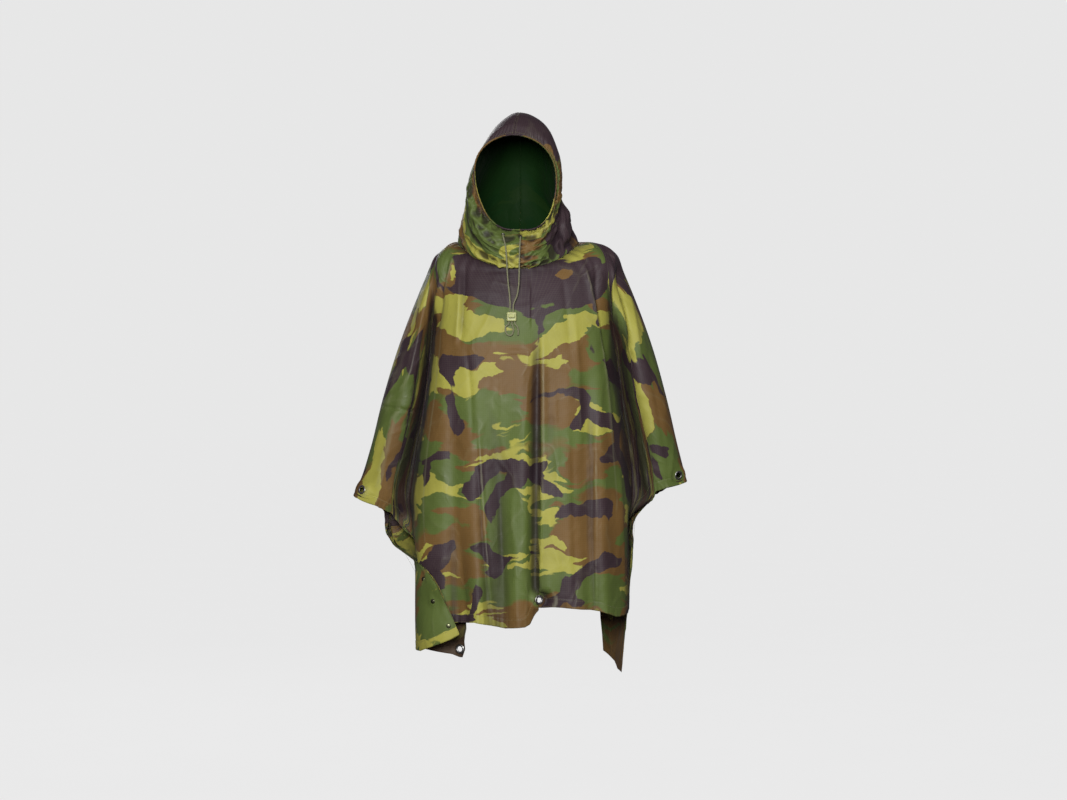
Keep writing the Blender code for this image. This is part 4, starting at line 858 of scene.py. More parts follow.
def fold_offset(folds, x, z):
    """How far the folds lift the cloth outward at a place."""
    lift = np.zeros_like(x)
    for row in folds:
        fold = dict(zip(FOLD_COLUMNS, row))
        along = np.clip((fold["top_z"] - z) / (fold["top_z"] - fold["low_z"]), 0.0, 1.0)
        across = (x - fold["top_x"] - (fold["low_x"] - fold["top_x"]) * along) / fold["half_width"]
        grown = np.minimum(along / FOLD_START, 1.0) * (FOLD_TOP + (1 - FOLD_TOP) * along)
        lift += fold["height"] * np.exp(-across ** 2) * grown
    return lift


def row_shares():
    """Places of the rows down a column: even, then close together over the hem."""
    return np.concatenate([np.linspace(0.0, HEM_ROWS_FROM, BODY_ROWS, endpoint=False),
                           np.linspace(HEM_ROWS_FROM, 1.0, HEM_ROWS)])


def main_form(name, sections, edge, folds, stations, share):
    """The panel's main form, as in its solid, on a finer grid."""
    facing = math.copysign(1.0, sections[0][-1])
    heights, rows_x, rows_y = section_stations(name, sections)
    weights = soft_weights(stations, LAST_STATION + 1)
    top = top_line(stations, facing)
    low_z = np.interp(stations, column(edge, EDGE_COLUMNS, "station"), column(edge, EDGE_COLUMNS, "z"))
    turn = np.clip(share / SHOULDER_TURN, 0.0, 1.0) * math.pi / 2
    turned = 1 / (1 + math.pi * (1 - SHOULDER_TURN) / (2 * SHOULDER_TURN))
    fall = np.where(share < SHOULDER_TURN, turned * (1 - np.cos(turn)),
                    turned + (1 - turned) * (share - SHOULDER_TURN) / (1 - SHOULDER_TURN))
    z = top[None, :, 2] + (low_z - top[:, 2])[None, :] * fall[:, None]
    x = np.zeros_like(z)
    y = np.zeros_like(z)
    for station in range(LAST_STATION + 1):
        x += weights[None, :, station] * curve_through(heights, rows_x[:, station], z)
        y += weights[None, :, station] * curve_through(heights, rows_y[:, station], z)
    hold = (1 - np.sin(turn))[:, None]
    x += (top[:, 0] - x[0])[None, :] * hold
    y += (top[:, 1] - y[0])[None, :] * hold
    inside = np.clip(np.minimum(stations, LAST_STATION - stations), 0.0, 1.0)
    loose = np.clip(share / LOOSE_AFTER, 0.0, 1.0)[:, None] * inside[None, :]
    y += facing * fold_offset(folds, x, z) * loose
    near_hem = np.clip(1 - (z - low_z[None, :]) / HEM_WAVE_REACH, 0.0, 1.0)
    body = np.clip(2 * (HEM_WAVE_STATIONS - np.abs(stations - MIDDLE_STATION)), 0.0, 1.0)[None, :]
    y += HEM_WAVE * near_hem * body * np.sin(2 * math.pi * x / HEM_WAVE_LENGTH)
    y[:, 0] = 0.0
    y[:, -1] = 0.0
    return np.stack([x, y, z], axis=-1)


def crease_height(creases, x, z):
    """How far the placed creases move the cloth out of its surface."""
    height = np.zeros_like(x)
    for row in creases:
        crease = dict(zip(CREASE_COLUMNS, row))
        run = np.array((crease["x2"] - crease["x1"], crease["z2"] - crease["z1"]))
        length = np.linalg.norm(run)
        run /= length
        along = (x - crease["x1"]) * run[0] + (z - crease["z1"]) * run[1]
        share = np.clip(along / length, 0.0, 1.0)
        across = (x - crease["x1"]) * -run[1] + (z - crease["z1"]) * run[0]
        across = across - 4 * crease["bow"] * share * (1 - share)
        ends = smooth_step(along, *(part * length for part in CREASE_START)) \
            * smooth_step(along, *(part * length for part in CREASE_STOP))
        wide = across / crease["half_width"]
        if crease["kind"] in STEEP_CREASES:
            way, slow, sharp, lip, lip_place, lip_width = STEEP_CREASES[crease["kind"]]
            shape = np.where(wide < 0, np.exp(-(wide / slow) ** 2), np.exp(-(wide / sharp) ** 2))
            shape = way * (shape - lip * np.exp(-((wide - lip_place) / lip_width) ** 2))
        else:
            shape = np.exp(-np.abs(wide) ** CREASE_ROUND) * (-1 if crease["kind"] == "trough" else 1)
        height += crease["height"] * shape * ends
    return height


def gather_height(gathers, stations, along_edge, away, seed):
    """Small uneven waves that start at an edge and die out over their reach."""
    height = np.zeros_like(away)
    for number, row in enumerate(gathers):
        gather = dict(zip(RUFFLE_COLUMNS, row))
        inside = smooth_step(stations, gather["from_station"] - 0.1, gather["from_station"] + 0.3) \
            * smooth_step(stations, gather["to_station"] + 0.1, gather["to_station"] - 0.3)
        turn = along_edge / gather["wave"]
        phase, strength, far = (mean + spread * line_noise(turn * rate, number + row, seed + shift)
                                for mean, spread, rate, row, shift in GATHER_NOISE)
        wave = np.sin(2 * math.pi * (turn + phase))
        fall = np.exp(-(away / (gather["reach"] * far)[None, :]) ** GATHER_FALL)
        height += gather["height"] * (wave * strength * inside)[None, :] * fall
    return height


def crinkle_height(u, v, seed):
    """Loose unevenness of coated cloth: wide swells, long creases and small ones across them."""
    wide, long, high = SWELLS
    height = value_noise(u / wide, v / long, seed) * high
    share, wide, long = LONG_CREASE_DRIFT
    drift = share * value_noise(v / wide, u / long, seed + 3)
    wide, long, high = LONG_CREASES
    height = height + high * crests(u / wide + drift, v / long, seed + 1, CRINKLE_SHARP)
    across, down = SMALL_CREASE_SLANT
    wide, long, high = SMALL_CREASES
    return height + high * crests((u + across * v) / wide, (v - down * u) / long, seed + 2, CRINKLE_SHARP)


def cut_map(points, stations, facing):
    """Where each point lay on the flat cloth before it was worn: u across, v down from the shoulders."""
    middle = int(np.argmin(np.abs(stations - MIDDLE_STATION)))
    across = lengths_along(points, 1)
    down = lengths_along(points, 0)
    body_u = across - across[:, middle:middle + 1]
    body_u = body_u * (NECK_DRAWN + (1 - NECK_DRAWN) * smooth_step(down, 0.0, NECK_DRAWN_REACH))
    start = np.hypot(points[0, :, 1], NECK_SIDE_Z - points[0, :, 2])
    body_v = start[None, :] + down
    wing_u = WING_CUT_START + down
    from_side, to_lip = WING_CUT_STATIONS
    on_left = smooth_step(stations, LEFT_SIDE - from_side, LEFT_LIP + to_lip)[None, :]
    on_right = smooth_step(stations, RIGHT_SIDE + from_side, RIGHT_LIP - to_lip)[None, :]
    fade = smooth_step(-points[..., 2], *WING_CUT_DEPTHS)
    u = body_u + on_left * fade * (-wing_u - body_u) + on_right * fade * (wing_u - body_u)
    v = body_v + on_left * fade * (across - body_v) + on_right * fade * (across[:, -1:] - across - body_v)
    return np.stack([u, v * -facing], axis=-1)


def hold_near(points, normals, spot, axis, radius, reach, height):
    """The cloth lies flat under a round fitting and leaves it softly."""
    offset = points - spot
    up = offset @ axis
    flat = np.linalg.norm(offset - up[..., None] * axis, axis=-1)
    near = np.linalg.norm(offset, axis=-1) < 2 * reach
    facing = normals @ axis > 0.3
    hold = smooth_step(flat, reach, radius) * near * facing
    points += ((height - up) * hold)[..., None] * axis


def open_hole(points, keep, spot, axis):
    """Opens the grid round a ring: the nearest cells go, and the cloth round them draws back."""
    row, place = np.unravel_index(np.argmin(np.linalg.norm(points - spot, axis=-1)), points.shape[:2])
    keep[row - 1:row + 1, place - 1:place + 1] = False
    side, up = axes_across(axis)
    rows = slice(row - HOLE_ROWS, row + HOLE_ROWS + 1)
    places = slice(max(place - HOLE_COLUMNS, 0), place + HOLE_COLUMNS + 1)
    patch = points[rows, places]
    offset = patch - spot
    a, b, height = offset @ side, offset @ up, offset @ axis
    far = np.hypot(a, b)
    pushed = np.where(far < HOLE_REACH, HOLE + far * (HOLE_REACH - HOLE) / HOLE_REACH, far)
    ring = np.zeros(patch.shape[:2], dtype=bool)
    at_row, at_place = row - rows.start, place - places.start
    ring[at_row - 1:at_row + 2, at_place - 1:at_place + 2] = True
    pushed[ring] = HOLE
    grow = pushed / np.maximum(far, 1e-6)
    points[rows, places] = spot + (a * grow)[..., None] * side + (b * grow)[..., None] * up \
        + height[..., None] * axis


PANELS = {
    "front_panel": {"sections": FRONT_SECTIONS, "edge": FRONT_EDGE, "folds": FRONT_FOLDS, "seed": 11,
                    "creases": FRONT_CREASES, "hem": FRONT_HEM_RUFFLES, "neck": FRONT_NECK_GATHERS},
    "back_panel": {"sections": BACK_SECTIONS, "edge": BACK_EDGE, "folds": BACK_FOLDS, "seed": 41,
                   "creases": BACK_CREASES, "hem": BACK_HEM_RUFFLES, "neck": BACK_NECK_GATHERS},
}


def shape_panel(name, crinkle, hem_width):
    """Outer grid of a panel with all its folds, its normals, cut map, kept cells and edge distances."""
    plan = PANELS[name]
    facing = math.copysign(1.0, plan["sections"][0][-1])
    stations, share = station_list(), row_shares()
    points = main_form(name, plan["sections"], plan["edge"], plan["folds"], stations, share)
    cut = cut_map(points, stations, facing)
    normals = grid_normals(points, np.array((0.0, 0.0, BODY_MIDDLE_Z)) + points * (1, 0, 1))
    down = lengths_along(points, 0)
    to_hem = down[-1:] - down
    edge_length = lengths_along(points[-1:], 1)[0]
    neck_length = lengths_along(points[:1], 1)[0]
    band = edge_distance(points)
    lap = smooth_step(stations, *LAP_STATIONS)[None, :] * smooth_step(-points[..., 2], *LAP_DEPTHS)
    height = crease_height(plan["creases"], points[..., 0], points[..., 2]) * (1 - lap)
    height += crinkle * crinkle_height(cut[..., 0], cut[..., 1], plan["seed"])
    height *= smooth_step(share, 0.0, CREASES_GROWN)[:, None]
    height += gather_height(plan["neck"], stations, neck_length, down, plan["seed"] + NECK_SEED)
    height += gather_height(plan["hem"], stations, edge_length, to_hem, plan["seed"] + HEM_SEED)
    height += HEM_RAISE * smooth_step(band, *(hem_width + past for past in HEM_RAISE_EDGE))
    pucker = 1 - PUCKER_SHARE + PUCKER_SHARE * np.sin(2 * math.pi * edge_length / PUCKER_LENGTH)[None, :]
    height -= HEM_DENT * pucker * np.exp(-((band - hem_width) / HEM_DENT_WIDTH) ** 2)
    held = np.clip(np.minimum(stations, LAST_STATION - stations) / SIDE_HOLD_STATIONS, 0.0, 1.0)[None, :]
    held = held * np.where(on_shoulder(stations), smooth_step(share, 0.0, SHOULDER_HOLD)[:, None], 1.0)
    points += normals * (height * held)[..., None]
    points[..., 1] += facing * PANEL_CLEARANCE
    keep = np.ones((len(share) - 1, len(stations) - 1), dtype=bool)
    normals = grid_normals(points, points * (1, 0, 1))
    if name == "back_panel":
        for snap in SNAPS:
            spot, axis = part_frame(snap, -1)
            hold_near(points, normals, spot, axis, *SNAP_HOLD)
    for ring, panel, way in RINGS:
        if panel == name:
            spot, axis = part_frame(ring, way)
            hold_near(points, normals if way == facing else -normals, spot, axis, *GROMMET_HOLD)
            open_hole(points, keep, spot, axis)
    return {"points": points, "normals": panel_normals(points, stations, facing), "cut": cut, "keep": keep,
            "band": band, "deep": panel_painted_shade_and_highlight(points, facing, down, lap)}


def panel_painted_shade_and_highlight(points, facing, down, lap):
    """Amounts of painted shade and painted highlight: up to 1 in folds, along the neck seam and along the arm
    ridges, where shade falls, and below 0 on sharp ridges, which get a painted highlight.
    """
    side = lengths_along(points, 1)
    side = np.minimum(side, side[:, -1:] - side)
    deep = np.zeros_like(down)
    for reach, depth in FOLD_SHADES:
        deep = np.maximum(deep, fold_depth(points, facing, reach) / depth)
    # Painted shadow along the neck seam under the cowl, and painted shade along the arm ridges, where the
    # cloth turns away from the light.
    deep += (NECK_SHADE * np.exp(-(down / NECK_SHADE_REACH) ** 2)
             + EDGE_SHADE * np.exp(-(side / EDGE_SHADE_REACH) ** 2))
    # Painted highlight on sharp ridges, carried in worn.
    out = points[..., 1] * facing
    worn = out - (np.roll(out, PAINTED_HIGHLIGHT_COLUMNS, axis=1) + np.roll(out, -PAINTED_HIGHLIGHT_COLUMNS, axis=1)) / 2
    worn = smooth_step(worn, *PAINTED_HIGHLIGHT_RIDGE) * (1 - lap) * smooth_step(side, *PAINTED_HIGHLIGHT_CLEAR_OF_SIDE)
    return (1 - np.exp(-deep ** SHADE_POWER)) * (1 - lap) - worn * PAINTED_HIGHLIGHT_SHARE


def fold_depth(points, facing, reach):
    """How far each point lies behind the cloth on both its sides, within a reach."""
    x, out = points[..., 0], points[..., 1] * facing
    sides = []
    for way in (1, -1):
        highest = out.copy()
        for step in range(1, FOLD_SHADE_COLUMNS):
            near = np.abs(np.roll(x, way * step, axis=1) - x) < reach
            highest = np.where(near, np.maximum(highest, np.roll(out, way * step, axis=1)), highest)
        sides.append(highest)
    return np.minimum(sides[0], sides[1]) - out


def edge_distance(points):
    """Distance of every point from the lower edge of its panel."""
    edge = points[-1]
    tree = KDTree(len(edge) * 4)
    fine = np.linspace(0, len(edge) - 1, len(edge) * 4)
    for number, place in enumerate(fine):
        low = min(int(place), len(edge) - 2)
        tree.insert(Vector(edge[low] + (edge[low + 1] - edge[low]) * (place - low)), number)
    tree.balance()
    rows = points.shape[0]
    distance = np.full(points.shape[:2], 1.0)
    for row in range(rows // 3, rows):
        distance[row] = [tree.find(Vector(point))[2] for point in points[row]]
    return distance


def on_shoulder(stations):
    """Stations whose upper edge lies on a shoulder line, where the two panels meet."""
    return (stations < LEFT_VALLEY) | (stations > RIGHT_VALLEY)


def panel_normals(points, stations, facing):
    """Normals of a panel, level along its shoulders and side edges so that the walls meet there."""
    normals = grid_normals(points, points * (1, 0, 1))
    if np.sum(normals[..., 1]) * facing < 0:
        normals = -normals
    shoulder = on_shoulder(stations)
    flat = normals * (1, 0, 1)
    flat /= np.maximum(np.linalg.norm(flat, axis=-1, keepdims=True), 1e-9)
    normals[0, shoulder] = flat[0, shoulder]
    normals[:, 0] = flat[:, 0]
    normals[:, -1] = flat[:, -1]
    return normals


# ---- shaping the hood ---------------------------------------------------------------------------
def shape_hood(side, crinkle):
    """Grid of one hood half: rows from the face opening to the neck, columns from chin to crown."""
    angles = np.linspace(0.0, math.pi, HOOD_COLUMN_COUNT)
    rise = (1 - np.cos(angles)) / 2
    rings = []
    for index, row in enumerate(HOOD_RINGS):
        ring = dict(zip(HOOD_COLUMNS, row))
        width = ring["left"] if side < 0 else ring["right"]
        lean = ring["egg_l"] if side < 0 else ring["egg_r"]
        peak = HOOD_PEAK * rise ** 2 * max(0.0, 1 - index / HOOD_PEAK_RINGS)
        outline = np.sin(angles) ** (ring["round"] + peak) * (1 - lean * np.cos(angles))
        x = ring["crown_x"] * rise + side * width * outline / np.max(outline)
        y = ring["front_y"] * (1 - rise) + ring["crown_y"] * rise
        z = ring["front_z"] * (1 - rise) + ring["crown_z"] * rise + ring["shoulder"] * np.sin(angles) ** 2
        near = math.exp(-((index - HOOD_BUNCH["ring"]) / HOOD_BUNCH["ring_spread"]) ** 2)
        around = np.exp(-((angles * -side - HOOD_BUNCH["angle"]) / HOOD_BUNCH["angle_spread"]) ** 2)
        rings.append(np.stack([x + side * HOOD_BUNCH["height"] * near * around, y, z], axis=-1))
    rings.append(neck_point(angles if side < 0 else -angles) + (0.0, 0.0, HOOD_LAP))
    places = np.linspace(0.0, len(HOOD_RINGS), HOOD_ROW_COUNT)
    points = curve_through(np.arange(len(rings)), np.array(rings), places)
    middle = np.array((0.0, 0.0, HOOD_MIDDLE_Z))
    normals = grid_normals(points, middle)
    ring_at, angle_at = np.meshgrid(places, angles * -side, indexing="ij")
    back, along = lengths_along(points, 0), lengths_along(points, 1)
    height = np.zeros_like(ring_at)
    for row in HOOD_BUNCHES:
        bunch = dict(zip(BUNCH_COLUMNS, row))
        turned = angle_at - bunch["angle"]
        away = ring_at - bunch["ring"] + HOOD_BUNCH_SLANT * turned
        height += bunch["height"] * np.exp(-(away / bunch["ring_spread"]) ** 2
                                           - (turned / bunch["angle_spread"]) ** 2)
    cowl = smooth_step(np.abs(angle_at), *COWL_ANGLES)
    cut = np.stack([side * along - side * along[:, -1:], back], axis=-1)
    stretch, slant, squeeze, right_shift = HOOD_CRINKLE
    shift = right_shift if side > 0 else 0.0
    wrinkles = crinkle_height(back / stretch + slant * along, along * squeeze + shift, HOOD_SEED)
    height += crinkle * wrinkles * (HOOD_CRINKLED[0] + HOOD_CRINKLED[1] * cowl)
    for number, (high, long, wide, aslant) in enumerate(COWL_WRINKLES):
        share, length = COWL_DRIFT
        drift = share * value_noise(along / length, back / length, COWL_DRIFT_SEED + number)
        waves = crests((along + aslant * back) / long + drift,
                       (back - aslant * along * COWL_COUNTER_SLANT) / wide + drift, COWL_SEED + number,
                       COWL_WRINKLE_SHARP)
        height += high * cowl * (waves - COWL_WRINKLE_REST)
    # Painted shade in the hood's hollows, most on the cowl.
    shaded = HOOD_SHADED[0] + HOOD_SHADED[1] * cowl
    deep = smooth_step(-height / COWL_SHADE, *COWL_SHADE_RANGE) * shaded * HOOD_SHADE
    share, length = FACE_PLEAT_DRIFT
    pleats = along[:1] / FACE_PLEAT_LENGTH + share * line_noise(along[:1] / length, 0.0, PLEAT_SEED)
    fall = np.exp(-(back / FACE_PLEAT_REACH) ** FACE_PLEAT_FALL)
    height += FACE_PLEAT_HEIGHT * np.sin(2 * math.pi * pleats) * fall
    last = float(len(HOOD_RINGS))
    face, neck = HOOD_END_RINGS
    ends = smooth_step(ring_at, 0.0, face) * smooth_step(ring_at, last, last - neck)
    crown, chin = HOOD_SEAM_ANGLES
    clear = smooth_step(np.abs(angle_at), math.pi, math.pi - crown) * smooth_step(np.abs(angle_at), 0.0, chin)
    clear = HOOD_SEAM_LEAST + (1 - HOOD_SEAM_LEAST) * clear
    points += normals * (height * np.maximum(ends, HOOD_END_LEAST) * clear)[..., None]
    points[:, 0, 0] = 0.0
    points[:, -1, 0] = curve_through(np.arange(len(rings)), np.array(rings)[:, -1, 0], places)
    points[..., 1] = np.maximum(points[..., 1], HOOD_FRONT_LIMIT)
    for eyelet, way in EYELETS:
        if way == side or abs(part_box(eyelet)[0].x) < EYELET_NEAR_SEAM:
            spot, axis = part_frame(eyelet, -1)
            hold_near(points, grid_normals(points, middle), spot, axis, *EYELET_HOLD)
    return {"points": points, "normals": grid_normals(points, middle), "cut": cut, "deep": deep}


def surface_of(name):
    """A piece's shaped surface, worked out once for all the pieces that lie on it."""
    cloth = bpy.context.scene.poncho_cloth
    made = (name, cloth.crinkle, cloth.hem_width)
    if made not in SURFACES:
        if name in PANELS:
            SURFACES[made] = shape_panel(*made)
        else:
            SURFACES[made] = shape_hood(-1 if name == "hood_left" else 1, cloth.crinkle)
    return SURFACES[made]


# ---- materials ----------------------------------------------------------------------------------
def add_node(tree, kind, inputs=None, **settings):
    """A node with its settings, and its inputs set to values or linked to sockets."""
    node = tree.nodes.new(kind)
    for key, value in settings.items():
        setattr(node, key, value)
    set_inputs(node, inputs or {})
    return node


def set_inputs(node, inputs):
    """Sets a node's inputs to values, or links them to sockets."""
    for key, value in inputs.items():
        if isinstance(value, bpy.types.NodeSocket):
            node.id_data.links.new(value, node.inputs[key])
        else:
            node.inputs[key].default_value = value


def math_node(tree, operation, first, second=0.0, clamp=False):
    node = add_node(tree, "ShaderNodeMath", {0: first, 1: second}, operation=operation, use_clamp=clamp)
    return node.outputs[0]


def vector_node(tree, operation, first, second):
    return add_node(tree, "ShaderNodeVectorMath", {0: first, 1: second}, operation=operation).outputs[0]


def scaled(tree, vector, scale):
    return add_node(tree, "ShaderNodeVectorMath", {0: vector, "Scale": scale}, operation="SCALE").outputs[0]


def mix_colour(tree, factor, first, second, blend="MIX"):
    return add_node(tree, "ShaderNodeMix", {0: factor, 6: first, 7: second}, data_type="RGBA",
                    blend_type=blend).outputs[2]


def toned(colour, share):
    """A colour made darker or lighter, opaque."""
    return tuple(min(1.0, share * part) for part in colour[:3]) + (1.0,)


def spread(tree, value, low, high):
    """A value between 0 and 1 spread between two others."""
    return add_node(tree, "ShaderNodeMapRange", {"Value": value, "To Min": low, "To Max": high}).outputs[0]


def bump(tree, height, strength, distance, under=None):
    """Normals bent by a height, on top of those of another bump if one is given."""
    inputs = {"Height": height, "Strength": strength, "Distance": distance}
    if under is not None:
        inputs["Normal"] = under
    return add_node(tree, "ShaderNodeBump", inputs).outputs[0]


def grain(tree, scale, detail, roughness=0.5):
    """Noise through the object's own space."""
    spot = add_node(tree, "ShaderNodeTexCoord").outputs["Object"]
    return add_node(tree, "ShaderNodeTexNoise", {"Vector": spot, "Scale": scale, "Detail": detail,
                                                 "Roughness": roughness}).outputs[0]


def cell_distance(tree, vector, scale, feature):
    return add_node(tree, "ShaderNodeTexVoronoi", {"Vector": vector, "Scale": scale}, voronoi_dimensions="2D",
                    feature=feature).outputs["Distance"]


def new_group(name, inputs, outputs):
    """An empty shader group with named sockets. Gives the tree, its inputs and its output node."""
    tree = bpy.data.node_groups.new(name, "ShaderNodeTree")
    for label, kind, default in inputs:
        socket = tree.interface.new_socket(name=label, in_out="INPUT", socket_type=kind)
        if default is not None:
            socket.default_value = default
    for label, kind in outputs:
        tree.interface.new_socket(name=label, in_out="OUTPUT", socket_type=kind)
    return tree, tree.nodes.new("NodeGroupInput").outputs, tree.nodes.new("NodeGroupOutput")


def use_group(tree, group, inputs):
    return add_node(tree, "ShaderNodeGroup", inputs, node_tree=group)


def soft_limit(tree, value, limit, softness):
    """0 below the limit and 1 above it, with a narrow soft edge."""
    edges = {"From Min": math_node(tree, "SUBTRACT", limit, softness),
             "From Max": math_node(tree, "ADD", limit, softness)}
    return add_node(tree, "ShaderNodeMapRange", {"Value": value, **edges}).outputs["Result"]


def noise(tree, vector, scale, detail=2.0, roughness=0.5, shift=None):
    """Noise over the flat cut, moved by a shift so that no two look alike."""
    if shift is not None:
        vector = vector_node(tree, "ADD", vector, shift)
    return add_node(tree, "ShaderNodeTexNoise", {"Vector": vector, "Scale": scale, "Detail": detail,
                                                 "Roughness": roughness}, noise_dimensions="2D")


def camouflage_group():
    """Four-colour woodland blobs: a green ground, soft brown, and crisp light and dark shapes on top."""
    colours = tuple((label, "NodeSocketColor", None) for label in ("Light", "Green", "Brown", "Dark"))
    shares = tuple((label, "NodeSocketFloat", 0.0) for label in ("More Light", "More Brown", "More Dark"))
    tree, given, out = new_group("Camouflage", (("Cut", "NodeSocketVector", None), *colours,
                                                ("Size", "NodeSocketFloat", 1.0), *shares),
                                 (("Colour", "NodeSocketColor"),))
    cut = scaled(tree, given["Cut"], math_node(tree, "DIVIDE", 1.0, given["Size"]))
    pushed = cut
    for source, reach in ((noise(tree, cut, 6.0, 1.0), 0.075), (noise(tree, cut, 17.0, 1.0), 0.030),
                          (noise(tree, cut, 60.0, 2.0, 0.6, (3.1, 7.7, 0.0)), 0.009)):
        centred = vector_node(tree, "SUBTRACT", source.outputs["Color"], (0.5, 0.5, 0.5))
        pushed = vector_node(tree, "ADD", pushed, scaled(tree, centred, reach))
    ground = vector_node(tree, "MULTIPLY", fingers(tree, pushed), (0.60, 1.25, 1.0))
    brown = noise(tree, ground, 8.0, 0.6, 0.4, (11.3, 4.1, 0.0)).outputs[0]
    brown = soft_limit(tree, math_node(tree, "ADD", brown, given["More Brown"]), 0.51, 0.022)
    light = noise(tree, ground, 9.0, 0.8, 0.4, (2.7, 23.9, 0.0)).outputs[0]
    light = soft_limit(tree, math_node(tree, "ADD", light, given["More Light"]), 0.596, 0.006)
    antlers = vector_node(tree, "MULTIPLY", pushed, (0.80, 1.05, 1.0))
    edge = cell_distance(tree, antlers, 7.0, "DISTANCE_TO_EDGE")
    gate = noise(tree, antlers, 8.0, 1.5, 0.5, (47.1, 9.9, 0.0)).outputs[0]
    gate = math_node(tree, "ADD", gate, given["More Dark"])
    width = math_node(tree, "MULTIPLY", math_node(tree, "SUBTRACT", gate, 0.445), 1.1, clamp=True)
    widest = math_node(tree, "ADD", 0.135, math_node(tree, "MULTIPLY", given["More Dark"], 2.4, clamp=True))
    width = math_node(tree, "MINIMUM", width, widest)
    edge = math_node(tree, "MAXIMUM", edge, 0.040)
    dark = soft_limit(tree, math_node(tree, "SUBTRACT", width, edge), 0.0, 0.006)
    colour = mix_colour(tree, brown, given["Green"], given["Brown"])
    colour = mix_colour(tree, light, colour, given["Light"])
    colour = mix_colour(tree, dark, colour, given["Dark"])
    set_inputs(out, {"Colour": colour})
    return tree


def fingers(tree, spot):
    """Pulls a shape's ends out sideways into uneven fingers."""
    streak = vector_node(tree, "MULTIPLY", spot, (0.20, 1.0, 1.0))
    pull = noise(tree, streak, 48.0, 1.0, 0.5, (6.1, 2.2, 0.0)).outputs[0]
    pull = math_node(tree, "MULTIPLY", math_node(tree, "SUBTRACT", pull, 0.5), 0.16)
    return vector_node(tree, "ADD", spot, add_node(tree, "ShaderNodeCombineXYZ", {0: pull}).outputs[0])


def place_group():
    """Weight of a soft round place: 1 at its middle, fading over its reach across and up."""
    inputs = [(label, "NodeSocketVector", None) for label in ("Spot", "Middle", "Reach")]
    tree, given, out = new_group("Soft place", inputs, (("Weight", "NodeSocketFloat"),))
    away = vector_node(tree, "SUBTRACT", given["Spot"], given["Middle"])
    away = vector_node(tree, "DIVIDE", away, given["Reach"])
    far = add_node(tree, "ShaderNodeVectorMath", {0: away}, operation="LENGTH").outputs["Value"]
    fall = math_node(tree, "MULTIPLY", math_node(tree, "MULTIPLY", far, far), -1.0)
    set_inputs(out, {"Weight": math_node(tree, "EXPONENT", fall)})
    return tree


def print_shares(tree, name):
    """How much more light, brown and dark the print holds over a piece, from its soft places."""
    spot = add_node(tree, "ShaderNodeTexCoord").outputs["Object"]
    shares = [0.0, 0.0, 0.0]
    for piece, x, z, wide, high, *more in PRINT_PLACES:
        if piece == name:
            weight = use_group(tree, group_named("Soft place", place_group), {
                "Spot": spot, "Middle": (x, 0.0, z), "Reach": (wide, 100.0, high)}).outputs[0]
            shares = [math_node(tree, "ADD", math_node(tree, "MULTIPLY", weight, part), share)
                      if part else share for part, share in zip(more, shares)]
    return shares


def ripstop_group():
    """The thicker threads of the weave, every few millimetres and both ways."""
    inputs = (("Cut", "NodeSocketVector", None), ("Spacing", "NodeSocketFloat", 0.005))
    tree, given, out = new_group("Ripstop", inputs, (("Threads", "NodeSocketFloat"),))
    cells = scaled(tree, given["Cut"], math_node(tree, "DIVIDE", 1.0, given["Spacing"]))
    parts = add_node(tree, "ShaderNodeSeparateXYZ", {0: cells}).outputs
    threads = []
    for axis in (0, 1):
        away = math_node(tree, "PINGPONG", parts[axis], 0.5)
        threads.append(math_node(tree, "SUBTRACT", 1.0, math_node(tree, "MULTIPLY", away, 9.0), clamp=True))
    set_inputs(out, {"Threads": math_node(tree, "MAXIMUM", *threads)})
    return tree


def crumple_group():
    """Height of fine sharp creases in coated cloth, and a mask of the creases themselves."""
    inputs = (("Cut", "NodeSocketVector", None), ("Scale", "NodeSocketFloat", 16.0))
    outputs = (("Height", "NodeSocketFloat"), ("Creases", "NodeSocketFloat"))
    tree, given, out = new_group("Crumple", inputs, outputs)
    drift = noise(tree, given["Cut"], 9.0, 2.0, 0.5, (5.5, 1.3, 0.0)).outputs["Color"]
    moved = vector_node(tree, "ADD", given["Cut"], scaled(tree, drift, 0.10))
    long = vector_node(tree, "MULTIPLY", moved, (1.0, 0.62, 1.0))
    edge = cell_distance(tree, long, given["Scale"], "DISTANCE_TO_EDGE")
    facet = cell_distance(tree, long, given["Scale"], "SMOOTH_F1")
    line = math_node(tree, "SUBTRACT", 1.0, math_node(tree, "MULTIPLY", edge, 7.0), clamp=True)
    patches = noise(tree, given["Cut"], 12.0, 2.0, 0.5, (8.2, 6.4, 0.0)).outputs[0]
    line = math_node(tree, "MULTIPLY", line, soft_limit(tree, patches, 0.52, 0.07))
    soft = noise(tree, given["Cut"], 28.0, 3.0, 0.55, (1.2, 3.4, 0.0)).outputs[0]
    height = math_node(tree, "MULTIPLY", facet, 0.9)
    for part, share in ((line, 0.35), (soft, 0.7)):
        height = math_node(tree, "ADD", height, math_node(tree, "MULTIPLY", part, share))
    set_inputs(out, {"Height": height, "Creases": math_node(tree, "MULTIPLY", line, line)})
    return tree


def group_named(name, maker):
    """The node group of this name, made the first time it is asked for."""
    return bpy.data.node_groups.get(name) or maker()


def new_material(name, roughness, metallic=0.0):
    """A material with its node tree and its shader."""
    material = bpy.data.materials.new(name)
    material.use_nodes = True
    shader = material.node_tree.nodes["Principled BSDF"]
    set_inputs(shader, {"Roughness": roughness, "Metallic": metallic})
    return material, material.node_tree, shader


